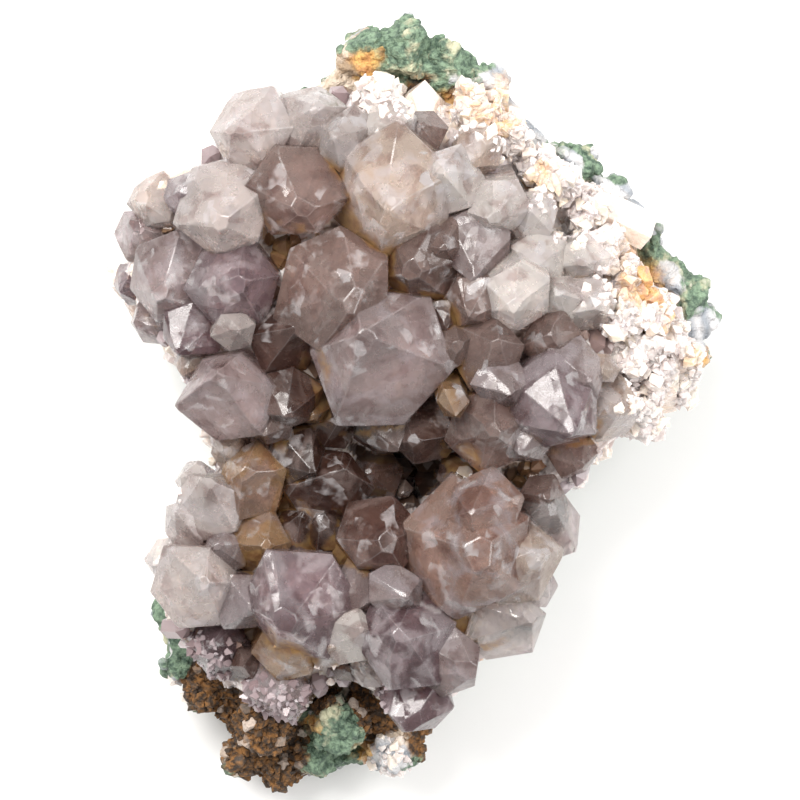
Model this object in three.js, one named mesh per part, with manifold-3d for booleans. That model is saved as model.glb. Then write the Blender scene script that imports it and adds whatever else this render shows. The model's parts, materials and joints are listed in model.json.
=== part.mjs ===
// Rough amethyst: a hand-sized piece broken from the wall of a geode.
// It lies on its rind with the crystals up. +Z is up, +Y runs along its length, and sizes are in millimetres.
import * as THREE from "three";
import { ConvexGeometry } from "three/addons/geometries/ConvexGeometry.js";
import { mergeVertices } from "three/addons/utils/BufferGeometryUtils.js";
import Module from "manifold-3d";

const wasm = await Module();
wasm.setup();

// Driving dimensions
const HEART = [-3, -3]; // plan point that the outlines are measured from
const GAP = 0.3; // between the quartz and the rind
const FACE_TILT = THREE.MathUtils.degToRad(51.8); // quartz: pyramid face against the base
const FACES = 6; // of the prism, and of the pyramid
const HEAD_DEPTH = 0.8; // from tip to the middle of the head, in crystal radii
const LEAST_LENGTH = 2.4; // of a crystal, in its radii
const ROOT = 3; // how far a crystal is rooted below the crust's surface
const TIP_ASIDE = [0.25, 0.7]; // how far off centre a crystal's tip may grow, in its radii
const UNEVEN_WIDTH = 0.24; // how much further out some of a crystal's corners stand, in its radii
const CORNER_SWAY = 14; // how much a crystal's corners stray from an even six, in degrees
const SHOULDERS = [0.6, 1.1]; // depths of the pyramid's corners against those of an even one
const WALL_START = THREE.MathUtils.degToRad(78); // how far round a wrapped ball its upper surface goes
const EDGE_ROUGH = 0.05; // how far the broken wall is bitten in, against its distance from the heart
const NEARNESS = 3.5; // how sharply a known height loses its say with distance
const AT_POINT = 0.01; // keeps that finite at the known height itself
const CRUST_ROUGH = 1.6; // unevenness of the crust's surface
const CRUST_BED = 1; // how far the crust's underside lies below the rind's surface before the two are parted
const CRUST_DETAIL = 3; // of the ball that is wrapped for the crust
const RIND_DETAIL = 7; // and for the rind
const RIND_ROUGH = 1.2; // unevenness of the rind's upper surface
const UNDER_ROUGH = 3.2; // unevenness of the rind's underside
const UNDER_SWELL = 1.3; // height of its broad swells
const UNDER_CURVE = 1.5; // how sharply it rises from the foot to the rim
const FOOT_SHARE = 0.42; // part of the way to the edge over which the underside is a foot
const RIM_THICKNESS = 4.5; // of the rind at its edge
const CUTTER_SPREAD = 3; // the rind's facets are flatter than its lumps, so their gap needs more growth
const LUMP_FACES = 8; // of a knob or a broken block
const LUMP_WIDTH = [0.85, 1.05]; // distances of a lump's faces, in its radii
const BLOCK_TALL = 1.3; // height of a broken block against its width
const GOLDEN_ANGLE = Math.PI * (3 - Math.sqrt(5)); // spreads a lump's faces evenly

// Where each kind of piece starts in the numbers that chance() draws, and which number makes what
const SEEDS = { crust: 100, knobs: 200, rind: 500, blocks: 600 };
const DRAWS = { sway: 0, width: 10, aside: 20, direction: 21, shoulder: 30, turn: 90 };

// Plan outline of the rind, with its green knobs, clockwise from the top end
const RIND_EDGE = [
  [-1.5, 47.1], [2.5, 44.5], [7, 42], [12, 37.5], [15, 33], [19.3, 32], [21, 30], [24, 28], [27, 26],
  [29, 23], [29.6, 20], [30, 18], [33, 17.6], [34.5, 14], [35.5, 11.5], [37.1, 9.8], [35.5, 7.5],
  [32.5, 4.5], [28, 0.5], [24, -3], [20, -6.5], [17, -10], [15.5, -13], [15.5, -16], [14, -20],
  [12, -24], [9.5, -28], [6, -31], [3.5, -35], [1.8, -40], [0, -44], [-3.5, -45], [-9, -44], [-12, -45],
  [-15, -47.4], [-18.5, -47.4], [-21, -45.5], [-22.5, -41], [-24.5, -38], [-27.5, -37], [-29.5, -34],
  [-31, -30.5], [-32.3, -26], [-32.3, -23.5], [-30, -20.5], [-28, -16], [-26, -12], [-22.5, -8],
  [-22, -5], [-23, -2], [-25, 1], [-27, 5], [-29.5, 8.5], [-32, 12.5], [-33, 17], [-32, 22], [-29, 26],
  [-25.5, 29], [-22.5, 32], [-20, 35], [-16.5, 37], [-13, 39.5], [-10.5, 42.5], [-8.5, 44.5],
  [-6, 45.3], [-4, 45],
];

// Plan outline of the quartz crust that the crystals stand on
const CRUST_EDGE = [
  [-9.5, 39], [-4.5, 37], [1.5, 37.5], [6, 37], [10.5, 33.5], [13.5, 30], [18, 27.5], [21.5, 24.5],
  [24.5, 19.5], [27.5, 16], [30.5, 13], [33, 9.5], [33.5, 7], [31.5, 3], [29.5, 0.5], [29, -2.5],
  [26, -3], [22.5, -5.5], [20, -8.5], [17.5, -12], [18, -15], [17, -19], [16, -22], [14, -26],
  [12.5, -29], [9.5, -30], [6.5, -31.5], [4.5, -34], [2.5, -37.5], [-2, -38], [-6.5, -34], [-10.5, -34],
  [-13, -36.5], [-16, -38], [-20, -36], [-24.5, -34], [-28, -30.5], [-30.5, -26.5], [-31, -23.5],
  [-30.5, -19], [-29.5, -15.5], [-28.5, -11.5], [-25.5, -9], [-24, -6.5], [-25.5, -3], [-27, 1],
  [-29, 5], [-32, 8.5], [-34.5, 12.5], [-36, 17], [-34.5, 21.5], [-31, 26], [-27.5, 29], [-24.5, 32.5],
  [-22.5, 35.5], [-18.5, 37], [-14, 38],
];

// Heights of the crust's surface, x, y, z: high in the upper lobe, a deep pocket at the heart, low rims
const CRUST_TOP = [
  [-20.5, 33.5, 26], [-14, 26, 30], [-3, 25, 31], [7.5, 27, 29], [-24, 23.5, 28], [-31, 15.5, 22],
  [-22, 14.5, 28], [-10.5, 14, 31], [-4, 5.5, 31], [-23, 0.5, 26], [-16, 7, 27], [0, 16, 30],
  [10, 12.5, 30], [17, 6.5, 29], [17, -0.5, 28], [8.5, -3, 27], [23, 0.5, 26], [29, 3, 23], [33, 9, 20],
  [26.5, 12.5, 25], [22, 22, 23], [14.5, 29.5, 24], [6, 36.5, 23], [-3, 37, 23], [-10, 38, 22],
  [-2, -8, 9], [-4.5, -4, 18], [2.5, -8, 15], [-10.5, -9, 19], [-14, -5.5, 22], [-20, -9, 22],
  [-25.5, -12, 20], [-27.5, -21.5, 21], [-19.5, -17, 20], [-14, -23.5, 25], [-5, -15, 22],
  [5, -17.5, 27], [13.5, -16, 24], [-2, -28, 25], [10, -27, 21], [1.5, -35.5, 19], [-15.5, -30.5, 21],
  [-24.5, -30.5, 17], [-17, -35.5, 17],
];

// Heights of the rind's upper surface: a dish under the crust, with its broken rim sloping outwards
const RIND_TOP = [
  [-10, 43, 18], [-2, 45, 17], [6, 40.5, 19], [12, 36, 19], [19, 30, 18], [26, 25, 17], [29, 20, 17],
  [33, 15, 15], [36, 10, 14], [34, 6, 16], [29, 2, 17], [23, -4, 16], [18, -9, 15], [15, -14, 14],
  [14, -20, 13], [11, -26, 12], [7, -31, 12], [3, -36, 13], [1, -42, 11], [-5, -43, 10], [-9.5, -43, 5],
  [-13, -44, 8], [-18, -46, 7], [-22, -42, 9], [-25, -37, 11], [-29, -33, 11], [-32, -26, 10],
  [-30, -21, 11], [-27, -14, 12], [-23, -7, 12], [-25, 1, 12], [-31, 11, 12], [-32, 21, 13],
  [-25, 29, 15], [-17, 37, 17], [-18, -40, 14], [-10, -39, 15], [-2, -40, 14], [-22, -33, 12],
  [-3, -3, 5], [-14, 10, 9], [8, 12, 9], [0, 28, 12], [-20, 22, 11], [18, 12, 12], [8, -12, 9],
  [-16, -16, 9], [-8, -27, 9],
];

// Lumps of the green skin and the brown matrix on the rind's rim: x, y, z and radius
const RIND_LUMPS = [
  [-1.6, 42.8, 17.5, 3.2], [3.5, 41, 17.5, 3], [-6.5, 42.5, 17, 2.8], [8.5, 38.5, 18, 2.6],
  [18.6, 29.3, 17.5, 2.7], [23.3, 25.4, 17, 2.2], [28, 20.4, 16.5, 1.6], [28.4, 17.6, 16, 1.7],
  [30.6, 15.3, 15, 2.3], [32.8, 13, 14.5, 2.4], [33.8, 10.4, 14, 2.4], [33.2, 6.6, 15, 2.2],
  [-31.2, -25, 8.5, 1.3], [-29.4, -32, 9.5, 1.6], [-26.4, -35.6, 10, 1.8], [-21.3, -43.2, 8, 2.2],
  [-17.3, -44.6, 7.5, 2.1], [-12.8, -42.8, 9, 2.3], [-9.6, -39.2, 14, 3], [-3.2, -42.6, 10.5, 2.2],
  [-0.8, -42.6, 10, 1.4], [-18.5, -39, 13.5, 3],
];

// Blocks of broken white quartz on the slope between the crystals and the rind's rim: x, y, top and radius
const BROKEN_BLOCKS = [
  [16.2, 27, 29.5, 2.9], [20.4, 23.4, 27.5, 2.7], [22, 18.8, 28.5, 2.7], [25, 14.6, 27, 2.8],
  [24.8, 10.6, 29.5, 2.8], [28, 10.4, 26, 2.8], [27, 6.4, 28.5, 3], [30.8, 6.6, 24.5, 2.8],
  [28.6, 3, 26.5, 2.7], [31.6, 3, 22.5, 2.2], [26.6, -0.8, 26.5, 2.8], [7, 35.4, 26.5, 2.6],
  [11, 32, 27.5, 2.7], [14, 29, 28, 2.2], [-4.4, 37, 26.5, 2.4],
];

// The crystals: x, y of the head, radius, height of the tip, lean along x and y, and roll in degrees
const CRYSTALS = [
  [-20.5, 33.4, 4.9, 37, -0.3, 0.2, 5],
  [-23.5, 23.6, 5.8, 39, -0.15, -0.1, 20],
  [-14.3, 25.6, 5.3, 39.5, 0.05, -0.15, 0],
  [-13, 34.2, 4.3, 36, 0, 0.25, 15],
  [-8.2, 31.6, 3.7, 38, 0.05, 0, 25],
  [-2.8, 25, 7.2, 42, 0.05, -0.2, 22],
  [-3.1, 33.6, 3.1, 37, 0.25, 0.2, 10],
  [3.8, 26.8, 4.2, 39, 0.1, 0.1, 12],
  [9.8, 23.2, 3.5, 37, 0.1, -0.25, 0],
  [6.8, 18.6, 4.5, 36.5, 0, -0.35, 20],
  [13.7, 22.8, 3.2, 34, 0.2, 0.1, 8],
  [14.6, 17.2, 3.4, 34.5, 0.15, -0.2, 25],
  [7.4, 31.2, 2.9, 35, 0.2, 0.3, 14],
  [0.8, 32.8, 2.6, 34, 0.1, 0.1, 5],
  [-31.9, 24.8, 3.2, 29, -0.45, 0.35, 10],
  [-34, 20.4, 3.1, 27, -0.55, 0, 0],
  [-28, 25.8, 2.9, 33, -0.3, 0.3, 18],
  [-30.2, 15.2, 5.4, 33, -0.35, -0.1, 15],
  [-22, 14, 5.3, 38, 0, -0.2, 10],
  [-35.2, 14.4, 2.6, 23, -0.6, -0.1, 5],
  [-27.4, 8.4, 3.6, 32, -0.15, -0.45, 20],
  [-32.4, 9.6, 2.6, 25, -0.5, -0.35, 0],
  [-22, 8.8, 2.5, 35, 0.05, -0.4, 12],
  [-23, 0.6, 5.6, 37, -0.15, -0.15, 12],
  [-27.6, 4.8, 1.9, 28, -0.4, -0.3, 0],
  [-16.1, 7.8, 4.2, 34.5, 0.1, -0.15, 0],
  [-15.2, 0.6, 3.5, 33, 0.15, -0.25, 20],
  [-12.7, 0, 2.2, 30, 0.35, -0.2, 0],
  [-17.2, -2.8, 2.2, 31, 0.1, -0.4, 10],
  [-22.6, -6, 2.6, 27, -0.1, -0.2, 5],
  [-10.4, 13.9, 6.8, 41.5, -0.05, -0.05, 24],
  [-4.3, 4.7, 8, 43.5, 0, -0.15, 50],
  [0.2, 16, 5.1, 38.5, 0, -0.25, 15],
  [3.2, 19.2, 3.4, 37.5, 0.2, 0, 0],
  [3.2, 10.2, 2.2, 35, 0.1, -0.1, 10],
  [4.2, 0, 1.8, 37, 0.1, -0.45, 0],
  [4.1, 7, 2.4, 36.5, 0.1, 0, 20],
  [8.3, 5.8, 4.2, 38, 0.1, -0.1, 10],
  [6.5, 12.2, 3.3, 37, 0, -0.3, 0],
  [12, 12.4, 4.1, 39, 0.05, -0.45, 30],
  [17, 12.6, 2.9, 35, 0.1, 0, 0],
  [20.6, 11.2, 3.3, 34, 0.1, -0.35, 5],
  [16.3, 7.6, 3.4, 36, 0, 0.1, 12],
  [18.7, 4, 3.7, 36.5, 0.25, 0, 20],
  [16.1, -0.4, 5.5, 39.5, 0.1, -0.25, 30],
  [9.8, 2.4, 3.2, 37.5, 0, -0.1, 0],
  [8.3, -3.6, 4.7, 37.5, -0.1, -0.3, 18],
  [13.4, -4.2, 3.2, 34, 0.05, -0.35, 0],
  [23.4, -1.2, 3.7, 33.5, 0.2, -0.3, 10],
  [22.2, 4.4, 1.8, 34, 0.1, 0, 0],
  [20, 17.2, 2.9, 33, 0.2, -0.1, 15],
  [18.8, -6, 2.9, 30, 0.2, -0.3, 5],
  [-14.2, -6.4, 3.4, 29, 0.2, -0.2, 10],
  [-10.8, -10, 4.7, 29, 0.1, 0.1, 0],
  [-4.9, -8.4, 3.2, 22, 0.1, 0.1, 12],
  [-4, -3, 3.4, 31, 0, -0.5, 20],
  [1.2, -4.2, 3.7, 32, 0, -0.45, 10],
  [-2.2, -7.8, 1.4, 17, 0, 0, 0],
  [-1.9, -10.2, 1.2, 18, 0, 0.1, 8],
  [-10, -2.4, 2.9, 29, 0.1, -0.2, 0],
  [5.3, -8.4, 2.9, 28, -0.1, 0.1, 10],
  [1.4, -9, 1.9, 17, -0.1, 0.1, 0],
  [-20.2, -9.4, 4.4, 30.5, -0.1, -0.1, 15],
  [-19.2, -16.4, 3.5, 28.5, 0, -0.05, 0],
  [-14.2, -15, 2.8, 26, 0.1, 0.1, 10],
  [-10.8, -14.8, 3.1, 26.5, 0.1, 0.15, 5],
  [-25.2, -12, 4.2, 29, -0.3, 0.1, 12],
  [-27.4, -8.8, 2.2, 25, -0.4, 0.3, 0],
  [-28.6, -14.4, 2.9, 26, -0.45, 0.1, 10],
  [-27.4, -22, 5.4, 31.5, -0.2, -0.1, 5],
  [-23.2, -17.6, 2.6, 28, 0, 0, 20],
  [-21.1, -23.8, 3.5, 29.5, -0.05, -0.15, 0],
  [-13.8, -23.9, 6.4, 35.5, 0, -0.05, 0],
  [-15.4, -29.4, 4, 29.5, 0, -0.3, 10],
  [-10.8, -29.6, 2.4, 29, 0.05, -0.3, 0],
  [-8.2, -28, 3.1, 31.5, 0.05, -0.15, 15],
  [-5, -15.2, 4.7, 32, 0.05, 0.15, 8],
  [-6.4, -22.2, 3.5, 30.5, 0.05, 0, 0],
  [-2.8, -22.2, 3.3, 33, 0.1, 0.05, 25],
  [-8.8, -18, 1.7, 26, 0, 0.1, 0],
  [-24.4, -30, 3.6, 24, -0.2, -0.35, 10],
  [-17.2, -35.2, 3.8, 25, -0.05, -0.45, 0],
  [-20.8, -31.6, 1.8, 24, 0, -0.3, 0],
  [-31, -18.6, 2.4, 23, -0.5, 0, 0],
  [4.8, -17.6, 7.7, 38, -0.1, -0.05, 32],
  [7.9, -12, 4.4, 37.5, 0.05, 0.25, 15],
  [11.6, -18.6, 5.3, 34, 0.15, 0, 10],
  [16.1, -14.4, 4.1, 31, 0.35, 0.15, 20],
  [15.2, -10.4, 2.6, 31, 0.2, 0.3, 0],
  [-1.2, -28.2, 5.5, 35, 0, -0.15, 10],
  [3.6, -31.1, 4.1, 31.5, 0.2, -0.3, 20],
  [0.2, -36.4, 3.8, 28, 0.1, -0.4, 0],
  [10.4, -26.8, 4.6, 30, 0.3, -0.25, 15],
  [5, -26, 2.4, 29, 0.1, -0.1, 0],
  [-5.8, -32, 2.4, 28.5, 0, -0.3, 10],
  [14.6, -22.2, 2.6, 27, 0.4, -0.1, 0],
  [-8.8, -31.8, 1.7, 26, 0, -0.2, 0],
];

// Points nearer than this are one, and what is smaller than TINY is nothing
const SAME_POINT = 1e-5;
const TINY = 1e-6;

// A repeatable number from 0 to 1 for the irregularity of crystal or lump a, face b
function chance(a, b) {
  const wave = Math.sin(a * 12.9898 + b * 78.233) * 43758.5453;
  return wave - Math.floor(wave);
}

// A repeatable number between two limits
function between([low, high], a, b) {
  return THREE.MathUtils.lerp(low, high, chance(a, b));
}

// Height at x, y between known heights, nearer ones counting more
function heightAt(heights, x, y) {
  let weights = 0;
  let sum = 0;
  for (const [px, py, pz] of heights) {
    const weight = 1 / (Math.hypot(x - px, y - py) ** NEARNESS + AT_POINT);
    weights += weight;
    sum += weight * pz;
  }
  return sum / weights;
}

// Distance from the heart to an outline in one direction
function reach(outline, angle) {
  const dx = Math.cos(angle);
  const dy = Math.sin(angle);
  let far = 0;
  outline.forEach(([ax, ay], i) => {
    const [bx, by] = outline[(i + 1) % outline.length];
    const ex = bx - ax;
    const ey = by - ay;
    const turn = dx * ey - dy * ex;
    const along = ((ax - HEART[0]) * ey - (ay - HEART[1]) * ex) / turn;
    const share = ((ax - HEART[0]) * dy - (ay - HEART[1]) * dx) / turn;
    if (share >= 0 && share <= 1 && along > far) far = along;
  });
  return far;
}

// A ball of flat facets wrapped round a plan outline: its upper half follows one height, its lower half
// another, and the facets near its equator make the broken wall between them
function wrapped(outline, detail, heightAbove, heightBelow, seed) {
  const geometry = new THREE.IcosahedronGeometry(1, detail);
  geometry.deleteAttribute("normal");
  geometry.deleteAttribute("uv");
  const ball = mergeVertices(geometry, SAME_POINT);
  const places = ball.attributes.position;
  for (let i = 0; i < places.count; i++) {
    const angle = Math.atan2(places.getY(i), places.getX(i));
    const fromPole = Math.acos(THREE.MathUtils.clamp(places.getZ(i), -1, 1));
    const nearer = Math.min(fromPole, Math.PI - fromPole);
    const share = Math.min(1, nearer / WALL_START) * (1 - EDGE_ROUGH * chance(seed + i, 1));
    const down = THREE.MathUtils.smoothstep(fromPole, WALL_START, Math.PI - WALL_START);
    const edge = reach(outline, angle) * share;
    const x = HEART[0] + Math.cos(angle) * edge;
    const y = HEART[1] + Math.sin(angle) * edge;
    const z = THREE.MathUtils.lerp(heightAbove(x, y, i), heightBelow(x, y, share, i), down);
    places.setXYZ(i, x, y, z);
  }
  return ball;
}

// The same closed mesh with every corner moved outwards
function grown(geometry, distance) {
  geometry.computeVertexNormals();
  const places = geometry.attributes.position;
  const outward = geometry.attributes.normal;
  for (let i = 0; i < places.count; i++) {
    const corner = new THREE.Vector3().fromBufferAttribute(places, i);
    corner.addScaledVector(new THREE.Vector3().fromBufferAttribute(outward, i), distance);
    places.setXYZ(i, corner.x, corner.y, corner.z);
  }
  return geometry;
}

// The corners of a convex solid given by its planes, each [normal, distance]
function corners(planes) {
  const found = [];
  const [u, v, w] = [new THREE.Vector3(), new THREE.Vector3(), new THREE.Vector3()];
  for (let i = 0; i < planes.length; i++) {
    for (let j = i + 1; j < planes.length; j++) {
      for (let k = j + 1; k < planes.length; k++) {
        const [[a, da], [b, db], [c, dc]] = [planes[i], planes[j], planes[k]];
        const volume = a.dot(u.crossVectors(b, c));
        if (Math.abs(volume) < TINY) continue;
        const point = u.clone().multiplyScalar(da);
        point.addScaledVector(v.crossVectors(c, a), db).addScaledVector(w.crossVectors(a, b), dc);
        point.divideScalar(volume);
        if (planes.every(([n, d]) => n.dot(point) <= d + TINY)) found.push(point);
      }
    }
  }
  return found;
}

// One quartz crystal: a six-sided prism with uneven shoulders and a blunt pyramid, rooted in the crust
function crystal([x, y, radius, top, leanX, leanY, roll], index) {
  const shoulder = radius * Math.tan(FACE_TILT);
  const length = Math.max(LEAST_LENGTH * radius, top - heightAt(CRUST_TOP, x, y) + ROOT);
  const aside = radius * between(TIP_ASIDE, index, DRAWS.aside);
  const direction = 2 * Math.PI * chance(index, DRAWS.direction);
  const points = [new THREE.Vector3(aside * Math.cos(direction), aside * Math.sin(direction), 0)];
  for (let face = 0; face < FACES; face++) {
    const sway = CORNER_SWAY * (chance(index, DRAWS.sway + face) - 0.5);
    const angle = THREE.MathUtils.degToRad(roll + (360 / FACES) * face + sway);
    const width = radius * (1 + UNEVEN_WIDTH * chance(index, DRAWS.width + face));
    const side = new THREE.Vector3(width * Math.cos(angle), width * Math.sin(angle), 0);
    points.push(side.clone().setZ(-shoulder * between(SHOULDERS, index, DRAWS.shoulder + face)));
    points.push(side.clone().setZ(-length));
  }
  const axis = new THREE.Vector3(leanX, leanY, 1).normalize();
  const turn = new THREE.Quaternion().setFromUnitVectors(new THREE.Vector3(0, 0, 1), axis);
  points.forEach((p) => p.applyQuaternion(turn));
  const head = axis.clone().multiplyScalar(-HEAD_DEPTH * radius);
  const lift = top - Math.max(...points.map((p) => p.z));
  points.forEach((p) => p.add(new THREE.Vector3(x - head.x, y - head.y, lift)));
  return new ConvexGeometry(points);
}

// One rounded, uneven lump: tall is its height against its width, and grow widens it on every side
function lump([x, y, z, radius, tall], seed, count, grow) {
  const planes = [];
  for (let face = 0; face < count; face++) {
    const height = 1 - (2 * (face + 0.5)) / count;
    const angle = face * GOLDEN_ANGLE + 2 * Math.PI * chance(seed, DRAWS.turn);
    const ring = Math.sqrt(1 - height * height);
    const normal = new THREE.Vector3(ring * Math.cos(angle), ring * Math.sin(angle), height / tall);
    const squash = normal.length();
    normal.divideScalar(squash);
    planes.push([normal, (radius * between(LUMP_WIDTH, seed, face)) / squash + grow]);
  }
  const points = corners(planes).map((p) => p.add(new THREE.Vector3(x, y, z)));
  return new ConvexGeometry(points);
}

// Height of the crust's broken surface
function crustHeight(x, y, i) {
  return heightAt(CRUST_TOP, x, y) + CRUST_ROUGH * (chance(i, 2) - 0.5);
}

// Height of the rind's upper surface
function rindHeight(x, y) {
  return heightAt(RIND_TOP, x, y);
}

// The same with the rind's own unevenness
function rindRoughHeight(x, y, i) {
  return rindHeight(x, y) + RIND_ROUGH * (chance(i, 4) - 0.5);
}

// Height of the rind's underside: level feet, low hollows between them, and a rim that curves up
function underHeight(x, y, share, i) {
  const pastFoot = Math.max(0, (share - FOOT_SHARE) / (1 - FOOT_SHARE));
  const bowl = pastFoot ** UNDER_CURVE * (rindHeight(x, y) - RIM_THICKNESS);
  const swell = UNDER_SWELL * Math.sin(0.5 * x + 0.2 * y) * Math.sin(0.4 * y + 1);
  return Math.max(0, bowl + swell + UNDER_ROUGH * (chance(i, 3) - 0.5));
}

// The quartz crust that the crystals are rooted in
function crust() {
  const crustBed = (x, y) => rindHeight(x, y) - CRUST_BED;
  return wrapped(CRUST_EDGE, CRUST_DETAIL, crustHeight, crustBed, SEEDS.crust);
}

// The broken quartz of the slope, as uneven blocks sunk into the crust
function brokenBlocks() {
  return BROKEN_BLOCKS.map(([x, y, top, radius], index) =>
    lump([x, y, top - BLOCK_TALL * radius, radius, BLOCK_TALL], SEEDS.blocks + index, LUMP_FACES, 0),
  );
}

// The rind and the lumps on it, each grown outwards by a distance
function rindPieces(grow) {
  const body = wrapped(RIND_EDGE, RIND_DETAIL, rindRoughHeight, underHeight, SEEDS.rind);
  const lumps = RIND_LUMPS.map((row, index) => lump([...row, 1], SEEDS.knobs + index, LUMP_FACES, grow));
  return [grown(body, CUTTER_SPREAD * grow), ...lumps];
}

// A closed mesh as a solid that can be joined and cut
function solid(geometry) {
  geometry.deleteAttribute("normal");
  geometry.deleteAttribute("uv");
  const merged = mergeVertices(geometry, SAME_POINT);
  const faces = [];
  for (let i = 0; i < merged.index.count; i += 3) {
    const [a, b, c] = [merged.index.getX(i), merged.index.getX(i + 1), merged.index.getX(i + 2)];
    if (a !== b && b !== c && c !== a) faces.push(a, b, c);
  }
  return new wasm.Manifold(
    new wasm.Mesh({
      numProp: 3,
      vertProperties: new Float32Array(merged.attributes.position.array),
      triVerts: new Uint32Array(faces),
    }),
  );
}

// The outer shell of a joined solid, without the pockets that are sealed inside it
function filled(body) {
  return body.decompose().reduce((most, shell) => (shell.volume() > most.volume() ? shell : most));
}

// A named mesh from a finished solid
function part(name, body, material) {
  const { vertProperties, triVerts } = body.getMesh();
  const geometry = new THREE.BufferGeometry();
  geometry.setAttribute("position", new THREE.Float32BufferAttribute(vertProperties, 3));
  geometry.setIndex([...triVerts]);
  geometry.computeVertexNormals();
  const mesh = new THREE.Mesh(geometry, material);
  mesh.name = name;
  return mesh;
}

// Many pieces joined in one solid
function joined(pieces) {
  return pieces.map(solid).reduce((whole, piece) => whole.add(piece));
}

const amethyst = new THREE.MeshStandardMaterial({ color: 0xb9a9b5, roughness: 0.25, metalness: 0 });
const rock = new THREE.MeshStandardMaterial({ color: 0x7d8f78, roughness: 0.85, metalness: 0 });

const rind = joined(rindPieces(0));
const quartz = joined([crust(), ...brokenBlocks(), ...CRYSTALS.map(crystal)]);
const bedded = quartz.subtract(joined(rindPieces(GAP)));

const specimen = new THREE.Group();
specimen.add(part("amethyst_crystals", filled(bedded), amethyst));
specimen.add(part("matrix_rind", filled(rind), rock));

export default specimen;
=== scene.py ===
# %% [markdown]
# Rough amethyst, dressed for a close look. A hand-sized piece broken from the wall of a geode: milky,
# mauve quartz crystals on a white crust, with the crust's broken edges, blue-grey agate, a green bumpy
# skin and brown iron rock round and under it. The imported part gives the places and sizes. Everything
# here is made round it, in metres, +Z up.

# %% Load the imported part
import math
import json

import bmesh
import bpy
import numpy as np
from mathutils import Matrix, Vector, noise

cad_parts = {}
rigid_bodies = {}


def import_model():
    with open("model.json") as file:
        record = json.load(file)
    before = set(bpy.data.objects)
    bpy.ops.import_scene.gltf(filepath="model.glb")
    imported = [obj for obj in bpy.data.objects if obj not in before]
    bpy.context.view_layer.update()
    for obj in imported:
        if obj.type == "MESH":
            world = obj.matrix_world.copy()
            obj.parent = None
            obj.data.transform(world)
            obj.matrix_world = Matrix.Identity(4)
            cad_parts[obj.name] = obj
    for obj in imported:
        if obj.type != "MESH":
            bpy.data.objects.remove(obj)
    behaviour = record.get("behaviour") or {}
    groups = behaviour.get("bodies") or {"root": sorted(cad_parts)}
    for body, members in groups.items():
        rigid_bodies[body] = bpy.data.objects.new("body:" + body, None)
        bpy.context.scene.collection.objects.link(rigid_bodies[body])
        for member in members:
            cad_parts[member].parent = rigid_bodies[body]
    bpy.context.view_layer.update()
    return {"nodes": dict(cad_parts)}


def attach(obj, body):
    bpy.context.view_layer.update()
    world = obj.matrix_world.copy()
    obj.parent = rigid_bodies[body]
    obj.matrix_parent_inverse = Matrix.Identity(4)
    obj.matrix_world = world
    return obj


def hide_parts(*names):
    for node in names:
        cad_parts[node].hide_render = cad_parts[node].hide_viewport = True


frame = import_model()
MM = 0.001
print("solids of the part:", sorted(frame["nodes"]))

# %% Helpers for objects and meshes


def new_object(name, data):
    """A new object in the scene."""
    made = bpy.data.objects.new(name, data)
    bpy.context.scene.collection.objects.link(made)
    return made


def new_mesh(name, shape):
    """A mesh from a shape that is finished."""
    mesh = bpy.data.meshes.new(name)
    shape.to_mesh(mesh)
    shape.free()
    return mesh


def modified(work, name):
    """The mesh that an object's modifiers make of it. The object itself goes."""
    made = bpy.data.meshes.new_from_object(work.evaluated_get(bpy.context.evaluated_depsgraph_get()))
    bpy.data.objects.remove(work)
    made.name = name
    return made


def value_layer(mesh, name, values):
    """Stores one number for each corner point of a mesh."""
    layer = mesh.attributes.new(name, "FLOAT", "POINT")
    layer.data.foreach_set("value", np.asarray(values, np.float32))


def places_of(mesh):
    """The corner points of a mesh in millimetres."""
    flat = np.empty(len(mesh.vertices) * 3, np.float32)
    mesh.vertices.foreach_get("co", flat)
    return flat.reshape(-1, 3).astype(float) / MM


def upward(mesh):
    """How far the surface faces up at each corner point of a mesh, from -1 to 1."""
    flat = np.empty(len(mesh.vertices) * 3, np.float32)
    mesh.vertex_normals.foreach_get("vector", flat)
    return flat.reshape(-1, 3)[:, 2]


# A piece's material slot and the plain solid that it stands for
QUARTZ = ("amethyst", "amethyst_crystals")
ROCK = ("rind", "matrix_rind")


def add_piece(name, mesh, material, carrier):
    """Puts a finished mesh in the scene, riding on the stone, in place of its plain solid."""
    material_slot, node = carrier
    piece = new_object(name, mesh)
    mesh.materials.clear()
    mesh.materials.append(material)
    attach(piece, "root")
    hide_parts(node)
    print(name, "has", sum(len(p.vertices) - 2 for p in mesh.polygons), "triangles")
    return piece


# %% [markdown]
# The photograph looks straight down on the piece, from far enough that nothing leans. A long lens one
# metre up gives that flat look. The frame is 96 mm wide at the height of the crystals.

# %% Camera
VIEW_CENTRE = (-2.16 * MM, 0.6 * MM)
VIEW_WIDTH = 96 * MM
VIEW_HEIGHT = 1.03
CRYSTAL_LEVEL = 0.03
SENSOR = 36

eye = bpy.data.cameras.new("eye")
eye.sensor_width = SENSOR
eye.lens = SENSOR * (VIEW_HEIGHT - CRYSTAL_LEVEL) / VIEW_WIDTH
eye.clip_end = 10
camera = new_object("camera", eye)
camera.location = (*VIEW_CENTRE, VIEW_HEIGHT)
bpy.context.scene.camera = camera
print("lens in mm:", round(eye.lens))

# %% [markdown]
# Soft daylight from the upper left, as on a table by a window. A large panel makes the soft shine on
# the facets, a weaker one fills from the right, and the pale surroundings light the rest.

# %% Light and floor
SURROUND = (1.0, 0.99, 0.97)
SURROUND_STRENGTH = 0.62


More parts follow.
